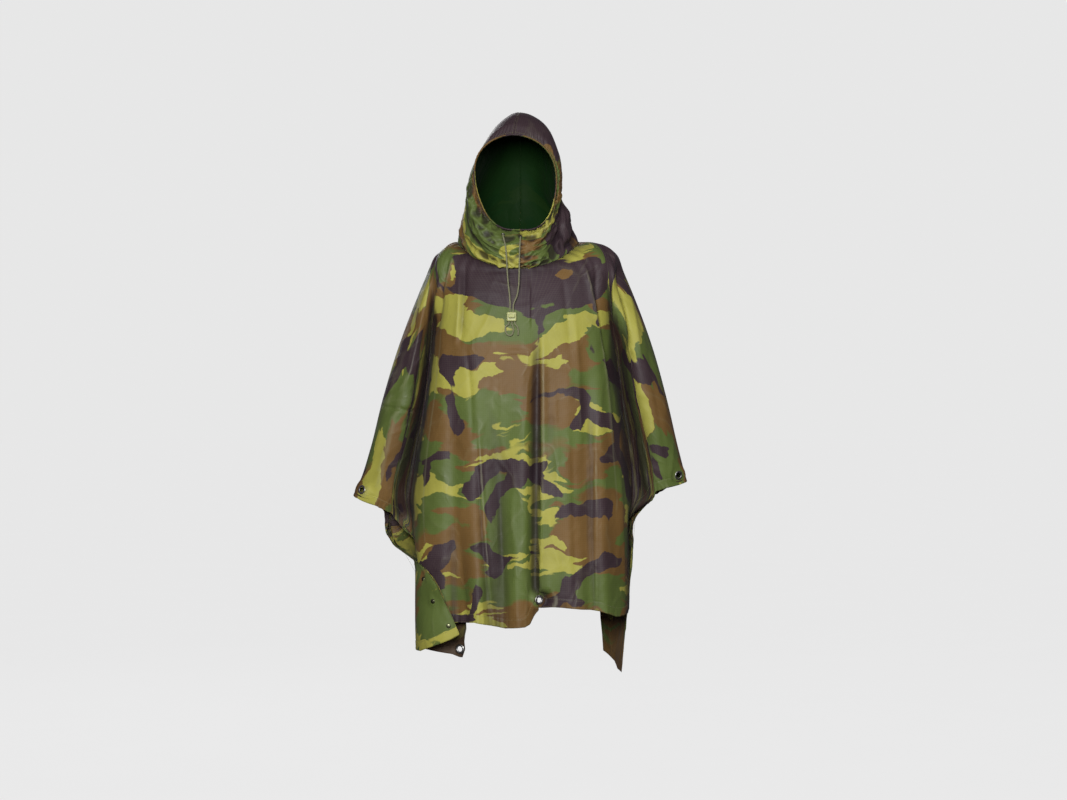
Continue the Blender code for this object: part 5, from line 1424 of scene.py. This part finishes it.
def cloth_material(name, shift=(0.0, 0.0, 0.0), shade=1.0, tint=(1.0, 1.0, 1.0, 1.0), tinted=0.0, shine=0.26,
                   clear=False):
    """Printed ripstop with its coating's soft shine.

    shade and tint darken the coated inner side; on the hood's inside this is mostly painted shade. clear
    leaves out the painted shade in the folds.
    """
    if name in bpy.data.materials:
        return bpy.data.materials[name]
    cloth = bpy.context.scene.poncho_cloth
    material, tree, shader = new_material(name, 0.46)
    cut = add_node(tree, "ShaderNodeUVMap", uv_map="cut").outputs[0]
    cut = add_node(tree, "ShaderNodeMapping", {"Vector": cut, "Location": shift}).outputs[0]
    light, brown, dark = print_shares(tree, name.replace("camouflage_", ""))
    colour = use_group(tree, group_named("Camouflage", camouflage_group), {
        "Cut": cut, "Light": cloth.light_colour, "Green": cloth.green_colour, "Brown": cloth.brown_colour,
        "Dark": cloth.dark_colour, "Size": cloth.camouflage_size, "More Light": light, "More Brown": brown,
        "More Dark": dark}).outputs["Colour"]
    threads = use_group(tree, group_named("Ripstop", ripstop_group),
                        {"Cut": cut, "Spacing": cloth.ripstop_spacing}).outputs["Threads"]
    crumple = use_group(tree, group_named("Crumple", crumple_group), {"Cut": cut, "Scale": 15.0}).outputs
    cloudy = noise(tree, cut, 6.0, 3.0, 0.6, (12.0, 18.0, 0.0)).outputs[0]
    fade = add_node(tree, "ShaderNodeMapRange", {"Value": cloudy, "From Min": 0.25, "From Max": 0.75,
                                                 "To Min": 0.86 * shade, "To Max": 1.12 * shade}).outputs[0]
    for lightened in (crumple["Creases"], threads):
        colour = mix_colour(tree, math_node(tree, "MULTIPLY", lightened, LINES_LIGHTENED), colour, cloth.light_lines_and_highlight_colour)
    grey = add_node(tree, "ShaderNodeCombineColor", {0: fade, 1: fade, 2: fade}).outputs[0]
    colour = mix_colour(tree, 1.0, colour, grey, "MULTIPLY")
    colour = mix_colour(tree, tinted, colour, tint)
    # The attribute deep paints the light: below 0 a painted highlight on sharp ridges, above 0 painted shade
    # in the folds, along the neck seam and along the arm ridges.
    deep = add_node(tree, "ShaderNodeAttribute", attribute_name="deep").outputs["Fac"]
    colour = mix_colour(tree, math_node(tree, "MULTIPLY", deep, -1.0, clamp=True), colour, cloth.light_lines_and_highlight_colour)
    if not clear:
        shaded = math_node(tree, "MULTIPLY", deep, FOLD_SHADE, clamp=True)
        colour = mix_colour(tree, shaded, colour, PAINTED_FOLD_SHADE_COLOUR)
    rough = math_node(tree, "ADD", 0.45, math_node(tree, "MULTIPLY", cloudy, 0.20))
    rough = math_node(tree, "SUBTRACT", rough, math_node(tree, "MULTIPLY", crumple["Creases"], 0.08))
    normal = bump(tree, crumple["Height"], 0.55, 0.0032, bump(tree, threads, 0.25, 0.00012))
    set_inputs(shader, {"Base Color": colour, "Roughness": rough, "Normal": normal,
                        "Specular IOR Level": shine, "Sheen Weight": 0.03, "Sheen Roughness": 0.4})
    return material


def inner_cloth(name):
    """The coated side of a panel, more or less tinted."""
    dark = INSIDE_TINTED[name]
    return cloth_material("coated_inside_" + name, (0.4, 0.9, 0.0), 1.0 - 0.45 * dark, INSIDE_TINT, dark,
                          clear=dark < 0.5)


def hood_inside():
    # Tinted near-black green and darkened to a fifth: painted shade inside the hollow hood, over the
    # coating's own dark green.
    return cloth_material("hood_inside", (0.9, 0.2, 0.0), 0.20, HOOD_INSIDE_COAT_AND_SHADE, 0.94, 0.03)


def thread_material():
    """Twisted sewing thread."""
    if "sewing_thread" in bpy.data.materials:
        return bpy.data.materials["sewing_thread"]
    colour = bpy.context.scene.poncho_stitches.thread_colour
    material, tree, shader = new_material("sewing_thread", 0.7)
    spot = add_node(tree, "ShaderNodeTexCoord").outputs["Object"]
    twist = add_node(tree, "ShaderNodeTexWave", {"Vector": spot, "Scale": 900.0, "Distortion": 1.5},
                     bands_direction="DIAGONAL").outputs["Fac"]
    set_inputs(shader, {"Base Color": mix_colour(tree, twist, toned(colour, 0.6), colour),
                        "Normal": bump(tree, twist, 0.4, 0.0001)})
    return material


def metal_material(name, colour, dull):
    """Plated metal with faint scuffs and dull patches."""
    if name in bpy.data.materials:
        return bpy.data.materials[name]
    material, tree, shader = new_material(name, 0.3, 1.0)
    patches = grain(tree, 260.0, 4.0, 0.6)
    wear = math_node(tree, "MULTIPLY", patches, patches)
    set_inputs(shader, {"Base Color": mix_colour(tree, wear, colour, dull),
                        "Roughness": spread(tree, patches, 0.20, 0.48),
                        "Normal": bump(tree, grain(tree, 1500.0, 2.0), 0.15, 0.0001)})
    return material


def cord_material():
    """Braided cord: crossed strands that follow its length."""
    if "braided_cord" in bpy.data.materials:
        return bpy.data.materials["braided_cord"]
    colour = bpy.context.scene.poncho_fittings.cord_colour
    material, tree, shader = new_material("braided_cord", 0.78)
    cut = add_node(tree, "ShaderNodeUVMap", uv_map="cut").outputs[0]
    parts = add_node(tree, "ShaderNodeSeparateXYZ", {0: cut}).outputs
    strands = []
    for way in (1.0, -1.0):
        lean = math_node(tree, "ADD", math_node(tree, "MULTIPLY", parts[0], 4.0 * way),
                         math_node(tree, "MULTIPLY", parts[1], 6.0))
        strands.append(math_node(tree, "MULTIPLY", math_node(tree, "PINGPONG", lean, 0.5), 2.0))
    shade = math_node(tree, "ADD", math_node(tree, "MULTIPLY", math_node(tree, "MAXIMUM", *strands), 0.7),
                      math_node(tree, "MULTIPLY", math_node(tree, "MULTIPLY", *strands), 0.3))
    set_inputs(shader, {"Base Color": mix_colour(tree, shade, toned(colour, 0.42), colour),
                        "Normal": bump(tree, shade, 0.8, 0.0005)})
    return material


def lock_material():
    """Moulded plastic with a fine grain and slightly uneven colour."""
    if "moulded_plastic" in bpy.data.materials:
        return bpy.data.materials["moulded_plastic"]
    colour = bpy.context.scene.poncho_fittings.lock_colour
    material, tree, shader = new_material("moulded_plastic", 0.42)
    cloud = grain(tree, 120.0, 3.0)
    set_inputs(shader, {"Base Color": mix_colour(tree, cloud, toned(colour, 0.75), toned(colour, 1.25)),
                        "Roughness": spread(tree, cloud, 0.34, 0.55),
                        "Normal": bump(tree, grain(tree, 2600.0, 2.0), 0.2, 0.0001)})
    return material


# ---- stitches -----------------------------------------------------------------------------------
def stitch_tree():
    """Lays a stitch along a line at every pitch, turned to follow it."""
    tree = bpy.data.node_groups.new("Stitches", "GeometryNodeTree")
    for label, kind in (("Geometry", "Geometry"), ("Pitch", "Float"), ("Length", "Float"),
                        ("Thickness", "Float"), ("Seed", "Int"), ("Material", "Material")):
        tree.interface.new_socket(name=label, in_out="INPUT", socket_type="NodeSocket" + kind)
    tree.interface.new_socket(name="Geometry", in_out="OUTPUT", socket_type="NodeSocketGeometry")
    given = tree.nodes.new("NodeGroupInput").outputs
    out = tree.nodes.new("NodeGroupOutput")
    line = add_node(tree, "GeometryNodeMeshToCurve", {"Mesh": given["Geometry"]}).outputs[0]
    even = add_node(tree, "GeometryNodeResampleCurve", {"Curve": line, "Length": given["Pitch"]},
                    mode="LENGTH").outputs[0]
    thread = add_node(tree, "GeometryNodeMeshUVSphere", {"Segments": 6, "Rings": 4, "Radius": 0.5}).outputs[0]
    size = add_node(tree, "ShaderNodeCombineXYZ",
                    {0: given["Length"], 1: given["Thickness"], 2: given["Thickness"]}).outputs[0]
    thread = add_node(tree, "GeometryNodeTransform", {"Geometry": thread, "Scale": size}).outputs[0]
    tangent = add_node(tree, "GeometryNodeInputTangent").outputs[0]
    turn = add_node(tree, "FunctionNodeAlignRotationToVector", {"Vector": tangent}, axis="X").outputs[0]
    uneven = add_node(tree, "FunctionNodeRandomValue",
                      {2: STITCH_SIZES[0], 3: STITCH_SIZES[1], "Seed": given["Seed"]},
                      data_type="FLOAT").outputs[1]
    placed = add_node(tree, "GeometryNodeInstanceOnPoints",
                      {"Points": even, "Instance": thread, "Rotation": turn, "Scale": uneven}).outputs[0]
    real = add_node(tree, "GeometryNodeRealizeInstances", {0: placed}).outputs[0]
    real = add_node(tree, "GeometryNodeSetShadeSmooth", {0: real}).outputs[0]
    real = add_node(tree, "GeometryNodeSetMaterial",
                    {"Geometry": real, "Material": given["Material"]}).outputs[0]
    tree.links.new(real, out.inputs[0])
    return tree


def add_stitches(name, lines):
    """A piece of stitches along some lines that lie on the cloth."""
    settings = bpy.context.scene.poncho_stitches
    points, edges = [], []
    for line in lines:
        edges += [(len(points) + step, len(points) + step + 1) for step in range(len(line) - 1)]
        points += [tuple(point) for point in line]
    mesh = bpy.data.meshes.new(name)
    mesh.from_pydata(points, edges, [])
    holder = bpy.data.objects.new(name, mesh)
    bpy.context.scene.collection.objects.link(holder)
    tree = group_named("Stitches", stitch_tree)
    modifier = holder.modifiers.new("stitches", "NODES")
    modifier.node_group = tree
    values = {"Pitch": settings.pitch, "Length": settings.length, "Thickness": settings.thickness,
              "Seed": settings.seed, "Material": thread_material()}
    for socket in tree.interface.items_tree:
        if socket.in_out == "INPUT" and socket.name in values:
            modifier[socket.identifier] = values[socket.name]
    graph = bpy.context.evaluated_depsgraph_get()
    made = bpy.data.meshes.new_from_object(holder.evaluated_get(graph), depsgraph=graph)
    holder.modifiers.remove(modifier)
    holder.data = made
    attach(holder, "root")


def line_at(surface, distance, lift):
    """A line on a panel at a distance from its lower edge."""
    band, points, normals = surface["band"], surface["points"], surface["normals"]
    rows = band.shape[0]
    line = []
    for place in range(1, band.shape[1] - 1):
        above = [row for row in range(rows - 2, rows // 3, -1) if band[row, place] >= distance]
        if not above:
            continue
        row = above[0]
        part = (band[row, place] - distance) / max(band[row, place] - band[row + 1, place], 1e-6)
        part = min(max(part, 0.0), 1.0)
        spot = points[row, place] * (1 - part) + points[row + 1, place] * part
        line.append(spot + normals[row, place] * lift)
    return line


# ---- settings -----------------------------------------------------------------------------------
LENGTH = {"unit": "LENGTH", "precision": 4}
COLOUR = {"subtype": "COLOR", "size": 4}


class PonchoCloth(bpy.types.PropertyGroup):
    thickness: FloatProperty(name="Thickness", description="Wall of the coated cloth", default=0.0006,
                             min=0.0002, **LENGTH)
    crinkle: FloatProperty(name="Crinkle", description="Height of the loose creases all over",
                           default=0.0011, min=0.0, **LENGTH)
    hem_width: FloatProperty(name="Hem width", description="Width of the turned hem", default=0.021,
                             min=0.005, **LENGTH)
    ripstop_spacing: FloatProperty(name="Ripstop spacing",
                                   description="Distance between the thicker threads", default=0.005,
                                   min=0.002, **LENGTH)
    camouflage_size: FloatProperty(name="Camouflage size",
                                   description="Size of the printed blobs, 1 as worn", default=1.0,
                                   min=0.2)
    light_colour: FloatVectorProperty(name="Light", description="Lightest colour of the print",
                                      default=(0.405, 0.385, 0.068, 1.0), **COLOUR)
    green_colour: FloatVectorProperty(name="Green", description="Ground colour of the print",
                                      default=(0.104, 0.146, 0.032, 1.0), **COLOUR)
    brown_colour: FloatVectorProperty(name="Brown", description="Brown of the print",
                                      default=(0.172, 0.094, 0.026, 1.0), **COLOUR)
    dark_colour: FloatVectorProperty(name="Dark", description="Darkest colour of the print",
                                     default=(0.046, 0.027, 0.034, 1.0), **COLOUR)
    # Colour of the lightened crease lines and threads, and of the painted highlight on sharp ridges.
    light_lines_and_highlight_colour: FloatVectorProperty(name="Worn", description="Tone of rubbed creases",
                                     default=(0.36, 0.36, 0.22, 1.0), **COLOUR)


class PonchoStitches(bpy.types.PropertyGroup):
    pitch: FloatProperty(name="Pitch", description="From one stitch to the next", default=0.0040,
                         min=0.001, **LENGTH)
    length: FloatProperty(name="Length", description="Length of a stitch", default=0.0032, min=0.0005,
                          **LENGTH)
    thickness: FloatProperty(name="Thickness", description="Thickness of the thread", default=0.0007,
                             min=0.0002, **LENGTH)
    seed: IntProperty(name="Seed", description="Changes how uneven the stitches are", default=7)
    thread_colour: FloatVectorProperty(name="Thread", description="Colour of the thread",
                                       default=(0.20, 0.20, 0.09, 1.0), **COLOUR)


class PonchoFittings(bpy.types.PropertyGroup):
    cord_radius: FloatProperty(name="Cord radius", description="Half of the drawcord's thickness",
                               default=0.0018, min=0.0005, **LENGTH)
    cord_colour: FloatVectorProperty(name="Cord", description="Colour of the drawcord",
                                     default=(0.30, 0.30, 0.17, 1.0), **COLOUR)
    lock_colour: FloatVectorProperty(name="Lock", description="Colour of the cord lock",
                                     default=(0.50, 0.52, 0.22, 1.0), **COLOUR)
    steel_colour: FloatVectorProperty(name="Steel", description="Colour of the grommets",
                                      default=(0.50, 0.50, 0.48, 1.0), **COLOUR)
    snap_colour: FloatVectorProperty(name="Snap", description="Colour of the snaps",
                                     default=(0.20, 0.21, 0.12, 1.0), **COLOUR)


class PonchoStage(bpy.types.PropertyGroup):
    key_power: FloatProperty(name="Key light", description="Power of the large front light",
                             default=185.0, min=0.0, unit="POWER")
    backdrop: FloatVectorProperty(name="Backdrop", description="Tone of the floor and the space behind",
                                  default=(0.80, 0.80, 0.80, 1.0), **COLOUR)
    floor_height: FloatProperty(name="Floor height", description="Height of the floor", default=-1.62,
                                unit="LENGTH")


# ---- making the pieces --------------------------------------------------------------------------
def make_cord(name):
    """A strand of the drawcord along its route."""
    fittings = bpy.context.scene.poncho_fittings
    route = np.array(CORDS[name])
    knots = lengths_along(route, 0)
    count = max(LEAST_CORD_STEPS, int(round(knots[-1] / CORD_STEP)))
    line = curve_through(knots, route, np.linspace(0.0, knots[-1], count + 1))
    mesh = tube_mesh(name + "_braid", line, fittings.cord_radius, CORD_SIDES)
    piece = add_piece(name + "_braid", mesh, [cord_material()], (name,))


def make_cloth(name):
    """A panel or hood half as a closed wall, printed outside and coated inside."""
    cloth = bpy.context.scene.poncho_cloth
    surface = surface_of(name)
    mesh = closed_wall(name + "_cloth", surface["points"], surface["normals"], cloth.thickness,
                       surface["cut"], surface["deep"], surface.get("keep"))
    outside = cloth_material("camouflage_" + name, CLOTH_SHIFTS[name])
    inside = inner_cloth(name) if name in PANELS else hood_inside()
    return add_piece(name + "_cloth", mesh, [outside, inside], (name,))


def face_rim():
    """Edge of the face opening: up the left side from the chin, over the crown and down the right."""
    left = surface_of("hood_left")["points"][0]
    right = surface_of("hood_right")["points"][0]
    return np.concatenate([left, right[-2:0:-1]])


def make_face_hem():
    """The gathered channel round the face opening that the drawcord runs in."""
    rim = face_rim()
    closed = np.vstack([rim, rim[:1]])
    lengths = lengths_along(closed, 0)
    places = np.linspace(0.0, lengths[-1], FACE_HEM_STEPS, endpoint=False)
    line = np.stack([np.interp(places, lengths, closed[:, axis]) for axis in range(3)], axis=-1)
    radial = (line - rim.mean(axis=0)) * (1, 0, 1)
    radial /= np.linalg.norm(radial, axis=1, keepdims=True)
    (share, length), (small_share, small_length) = FACE_HEM_DRIFT, FACE_HEM_ROUGH
    turns = places / FACE_PLEAT_LENGTH + share * line_noise(places / length, 0.0, FACE_HEM_SEEDS[0])
    waves = np.sin(2 * math.pi * turns) \
        + small_share * line_noise(places / small_length, 2.5, FACE_HEM_SEEDS[1])
    corners = np.arange(FACE_HEM_SIDES) * 2 * math.pi / FACE_HEM_SIDES
    forward = np.array((0.0, -1.0, 0.0))
    centre = line + forward * (FACE_HEM_WIDTH / 2 + FACE_HEM_AHEAD) - radial * FACE_HEM_INSET
    deep = FACE_HEM_WIDTH / 2 * (1 + FACE_HEM_WAVES[0] * waves)
    thick = FACE_HEM_THICK / 2 * (1 + FACE_HEM_WAVES[1] * waves)
    ahead = np.sign(np.cos(corners)) * np.abs(np.cos(corners)) ** FACE_HEM_FLAT
    points = centre[:, None, :] + forward * (deep[:, None] * ahead[None, :])[..., None] \
        + radial[:, None, :] * (thick[:, None] * np.sin(corners)[None, :])[..., None]
    grid = points.shape[:2]
    cut = np.stack([np.broadcast_to(places[:, None], grid) + FACE_HEM_CUT[0],
                    np.broadcast_to(corners[None, :] * FACE_HEM_CUT[1], grid)], axis=-1)
    mesh = mend(mesh_of("face_hem_channel", points.reshape(-1, 3), ring_faces(*grid), cut.reshape(-1, 2)))
    outside = cloth_material("camouflage_face_hem", FACE_HEM_SHIFT)
    return add_piece("face_hem_channel", mesh, [outside], ("hood_face_hem",))


def rounded_block(name, size, middle, bend, ribs, rib_height):
    """A moulded block with rounded edges; ribs run across its front."""
    block = bmesh.new()
    bmesh.ops.create_cube(block, size=1.0)
    bmesh.ops.scale(block, vec=size, verts=block.verts)
    bmesh.ops.bevel(block, geom=list(block.edges), offset=bend, segments=5, profile=0.5, affect="EDGES")
    for axis, count in BLOCK_CUTS:
        normal = Vector((axis == 0, 0, axis == 2))
        for step in range(1, count):
            place = normal * (size[axis] - 2 * bend) * (step / count - 0.5)
            bmesh.ops.bisect_plane(block, geom=block.verts[:] + block.edges[:] + block.faces[:], dist=1e-6,
                                   plane_co=place, plane_no=normal)
    if ribs:
        for vertex in block.verts:
            if vertex.co.y < -size[1] * 0.49 and abs(vertex.co.z) < size[2] / 2 - bend:
                turn = vertex.co.z / (size[2] - 2 * bend) * ribs * 2 * math.pi
                vertex.co.y += rib_height * (0.5 - 0.5 * math.cos(turn))
    bmesh.ops.translate(block, vec=middle, verts=block.verts)
    bmesh.ops.recalc_face_normals(block, faces=block.faces)
    mesh = bpy.data.meshes.new(name)
    block.to_mesh(mesh)
    block.free()
    mesh.shade_smooth()
    mesh.set_sharp_from_angle(angle=BLOCK_SHARP_ANGLE)
    return mesh


class PONCHO_OT_camera(bpy.types.Operator):
    """Places the camera in front, level with the middle of the poncho"""
    bl_idname = "poncho.camera"
    bl_label = "Camera"

    def execute(self, context):
        data = bpy.data.cameras.new("camera")
        data.sensor_fit = "HORIZONTAL"
        data.sensor_width = SENSOR_WIDTH
        data.lens = CAMERA_DISTANCE * data.sensor_width / CAMERA_WIDTH
        data.clip_end = VIEW_DEPTH
        camera = bpy.data.objects.new("camera", data)
        context.scene.collection.objects.link(camera)
        camera.location = (CAMERA_X, -CAMERA_DISTANCE, CAMERA_Z)
        camera.rotation_euler = (math.pi / 2, 0.0, 0.0)
        context.scene.camera = camera
        return {"FINISHED"}


class PONCHO_OT_drawcord(bpy.types.Operator):
    """Makes the drawcord's two strands, its loop and its tail, and the cord lock they run through"""
    bl_idname = "poncho.drawcord"
    bl_label = "Drawcord and lock"

    def execute(self, context):
        for name, *moulding in LOCK_PARTS:
            low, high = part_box(name)
            mesh = rounded_block(name + "_moulded", tuple(high - low), (low + high) / 2, *moulding)
            add_piece(name + "_moulded", mesh, [lock_material()], (name,))
        make_cord("drawcord_left")
        make_cord("drawcord_right")
        make_cord("drawcord_loop")
        make_cord("drawcord_tail")
        return {"FINISHED"}


class PONCHO_OT_panels(bpy.types.Operator):
    """Makes the front and back panels with their folds, hems and openings for the grommets"""
    bl_idname = "poncho.panels"
    bl_label = "Front and back"

    def execute(self, context):
        front, back = make_cloth("front_panel"), make_cloth("back_panel")
        return {"FINISHED"}


class PONCHO_OT_hood(bpy.types.Operator):
    """Makes both halves of the hood and the gathered channel round the face"""
    bl_idname = "poncho.hood"
    bl_label = "Hood"

    def execute(self, context):
        left, right = make_cloth("hood_left"), make_cloth("hood_right")
        channel = make_face_hem()
        return {"FINISHED"}


class PONCHO_OT_stitches(bpy.types.Operator):
    """Sews the hems, the neck seam, the crown seam and the face channel"""
    bl_idname = "poncho.stitches"
    bl_label = "Stitches"

    def execute(self, context):
        cloth = context.scene.poncho_cloth
        lift = context.scene.poncho_stitches.thickness * STITCH_LIFT
        for name in PANELS:
            surface = surface_of(name)
            add_stitches(name + "_hem_stitches", [line_at(surface, distance, lift) for distance in
                                                  (cloth.hem_width - HEM_SEAM_INSET, EDGE_SEAM)])
        crown, neck, channel = [], [], []
        for name in ("hood_left", "hood_right"):
            points, normals = surface_of(name)["points"], surface_of(name)["normals"]
            lifted = points + normals * lift
            crown.append(lifted[2:-2, -3])
            neck.append(lifted[-3, 2:-2])
            channel.append(lifted[3, 2:-2])
        add_stitches("hood_seam_stitches", crown)
        add_stitches("neck_seam_stitches", neck)
        add_stitches("face_channel_stitches", channel)
        return {"FINISHED"}


class PONCHO_OT_grommets(bpy.types.Operator):
    """Makes the rolled grommets at the wings, hems and corners, and the chin eyelets"""
    bl_idname = "poncho.grommets"
    bl_label = "Grommets and eyelets"

    def execute(self, context):
        fittings = context.scene.poncho_fittings
        steel = metal_material("grommet_steel_fine", tuple(fittings.steel_colour), DULL_STEEL)
        rings = [(name, way, GROMMET_PROFILE, TURN_SIDES) for name, _, way in RINGS]
        rings += [(name, way, EYELET_PROFILE, SMALL_TURN_SIDES) for name, way in EYELETS]
        for name, way, profile, sides in rings:
            mesh = turned_mesh(name, profile, *part_frame(name, way), sides)
            add_piece(name + "_rolled", mesh, [steel], (name,))
        return {"FINISHED"}


class PONCHO_OT_snaps(bpy.types.Operator):
    """Makes the snap caps along the free side edge"""
    bl_idname = "poncho.snaps"
    bl_label = "Snaps"

    def execute(self, context):
        fittings = context.scene.poncho_fittings
        painted = metal_material("snap_painted", tuple(fittings.snap_colour), DULL_SNAP)
        for name in SNAPS:
            mesh = turned_mesh(name, SNAP_PROFILE, *part_frame(name, -1), SMALL_TURN_SIDES)
            add_piece(name + "_cap", mesh, [painted], (name,))
        return {"FINISHED"}


class PONCHO_OT_stage(bpy.types.Operator):
    """Lays the pale floor and sets the soft studio lights"""
    bl_idname = "poncho.stage"
    bl_label = "Stage"

    def execute(self, context):
        stage = context.scene.poncho_stage
        shell = bmesh.new()
        bmesh.ops.create_circle(shell, cap_ends=True, segments=96, radius=FLOOR_RADIUS)
        bmesh.ops.translate(shell, vec=(0.0, 0.0, stage.floor_height), verts=shell.verts)
        mesh = bpy.data.meshes.new("floor")
        shell.to_mesh(mesh)
        shell.free()
        floor = bpy.data.objects.new("floor", mesh)
        context.scene.collection.objects.link(floor)
        material, tree, shader = new_material("pale_floor", 0.9)
        tone = tuple(stage.backdrop)
        seen = add_node(tree, "ShaderNodeLightPath").outputs["Is Camera Ray"]
        paint = mix_colour(tree, grain(tree, 3.0, 4.0), toned(tone, 0.99), tone)
        set_inputs(shader, {"Emission Color": mix_colour(tree, seen, (0.0, 0.0, 0.0, 1.0), paint),
                            "Emission Strength": 1.0, "Base Color": FLOOR_TONE, "Specular IOR Level": 0.0})
        floor.data.materials.append(material)
        for name, place, aim, size, power in LIGHTS:
            data = bpy.data.lights.new(name, "AREA")
            data.shape = "RECTANGLE"
            data.size, data.size_y = size
            data.energy = power * stage.key_power
            light = bpy.data.objects.new(name, data)
            context.scene.collection.objects.link(light)
            light.location = place
            light.rotation_euler = (Vector(aim) - Vector(place)).to_track_quat("-Z", "Y").to_euler()
        world = bpy.data.worlds.new("studio")
        world.use_nodes = True
        tree = world.node_tree
        tree.nodes.clear()
        backdrop = add_node(tree, "ShaderNodeBackground", {"Color": tone, "Strength": 1.0})
        fill = add_node(tree, "ShaderNodeBackground", {"Color": FILL, "Strength": FILL_STRENGTH})
        rays = add_node(tree, "ShaderNodeLightPath")
        both = add_node(tree, "ShaderNodeMixShader", {0: rays.outputs["Is Camera Ray"], 1: fill.outputs[0],
                                                      2: backdrop.outputs[0]})
        out = tree.nodes.new("ShaderNodeOutputWorld")
        tree.links.new(both.outputs[0], out.inputs["Surface"])
        context.scene.world = world
        context.scene.view_settings.view_transform = "Standard"
        return {"FINISHED"}


STEPS = (PONCHO_OT_camera, PONCHO_OT_drawcord, PONCHO_OT_panels, PONCHO_OT_hood, PONCHO_OT_stitches,
         PONCHO_OT_grommets, PONCHO_OT_snaps, PONCHO_OT_stage)
SETTINGS = (("poncho_cloth", PonchoCloth), ("poncho_stitches", PonchoStitches),
            ("poncho_fittings", PonchoFittings), ("poncho_stage", PonchoStage))


class PONCHO_PT_steps(bpy.types.Panel):
    bl_label = "Rain poncho"
    bl_space_type = "VIEW_3D"
    bl_region_type = "UI"
    bl_category = "Poncho"

    def draw(self, context):
        for step in STEPS:
            self.layout.operator(step.bl_idname)
        for name, settings in SETTINGS:
            for key in settings.__annotations__:
                self.layout.prop(getattr(context.scene, name), key)


def register():
    for name, settings in SETTINGS:
        bpy.utils.register_class(settings)
        setattr(bpy.types.Scene, name, PointerProperty(type=settings))
    for step in STEPS + (PONCHO_PT_steps,):
        bpy.utils.register_class(step)


def unregister():
    for step in (PONCHO_PT_steps,) + STEPS[::-1]:
        bpy.utils.unregister_class(step)
    for name, settings in SETTINGS:
        delattr(bpy.types.Scene, name)
        bpy.utils.unregister_class(settings)


def main():
    register()
    bpy.ops.poncho.camera()
    bpy.ops.poncho.drawcord()
    bpy.ops.poncho.panels()
    bpy.ops.poncho.hood()
    bpy.ops.poncho.stitches()
    bpy.ops.poncho.grommets()
    bpy.ops.poncho.snaps()
    bpy.ops.poncho.stage()


if __name__ == "__main__":
    main()
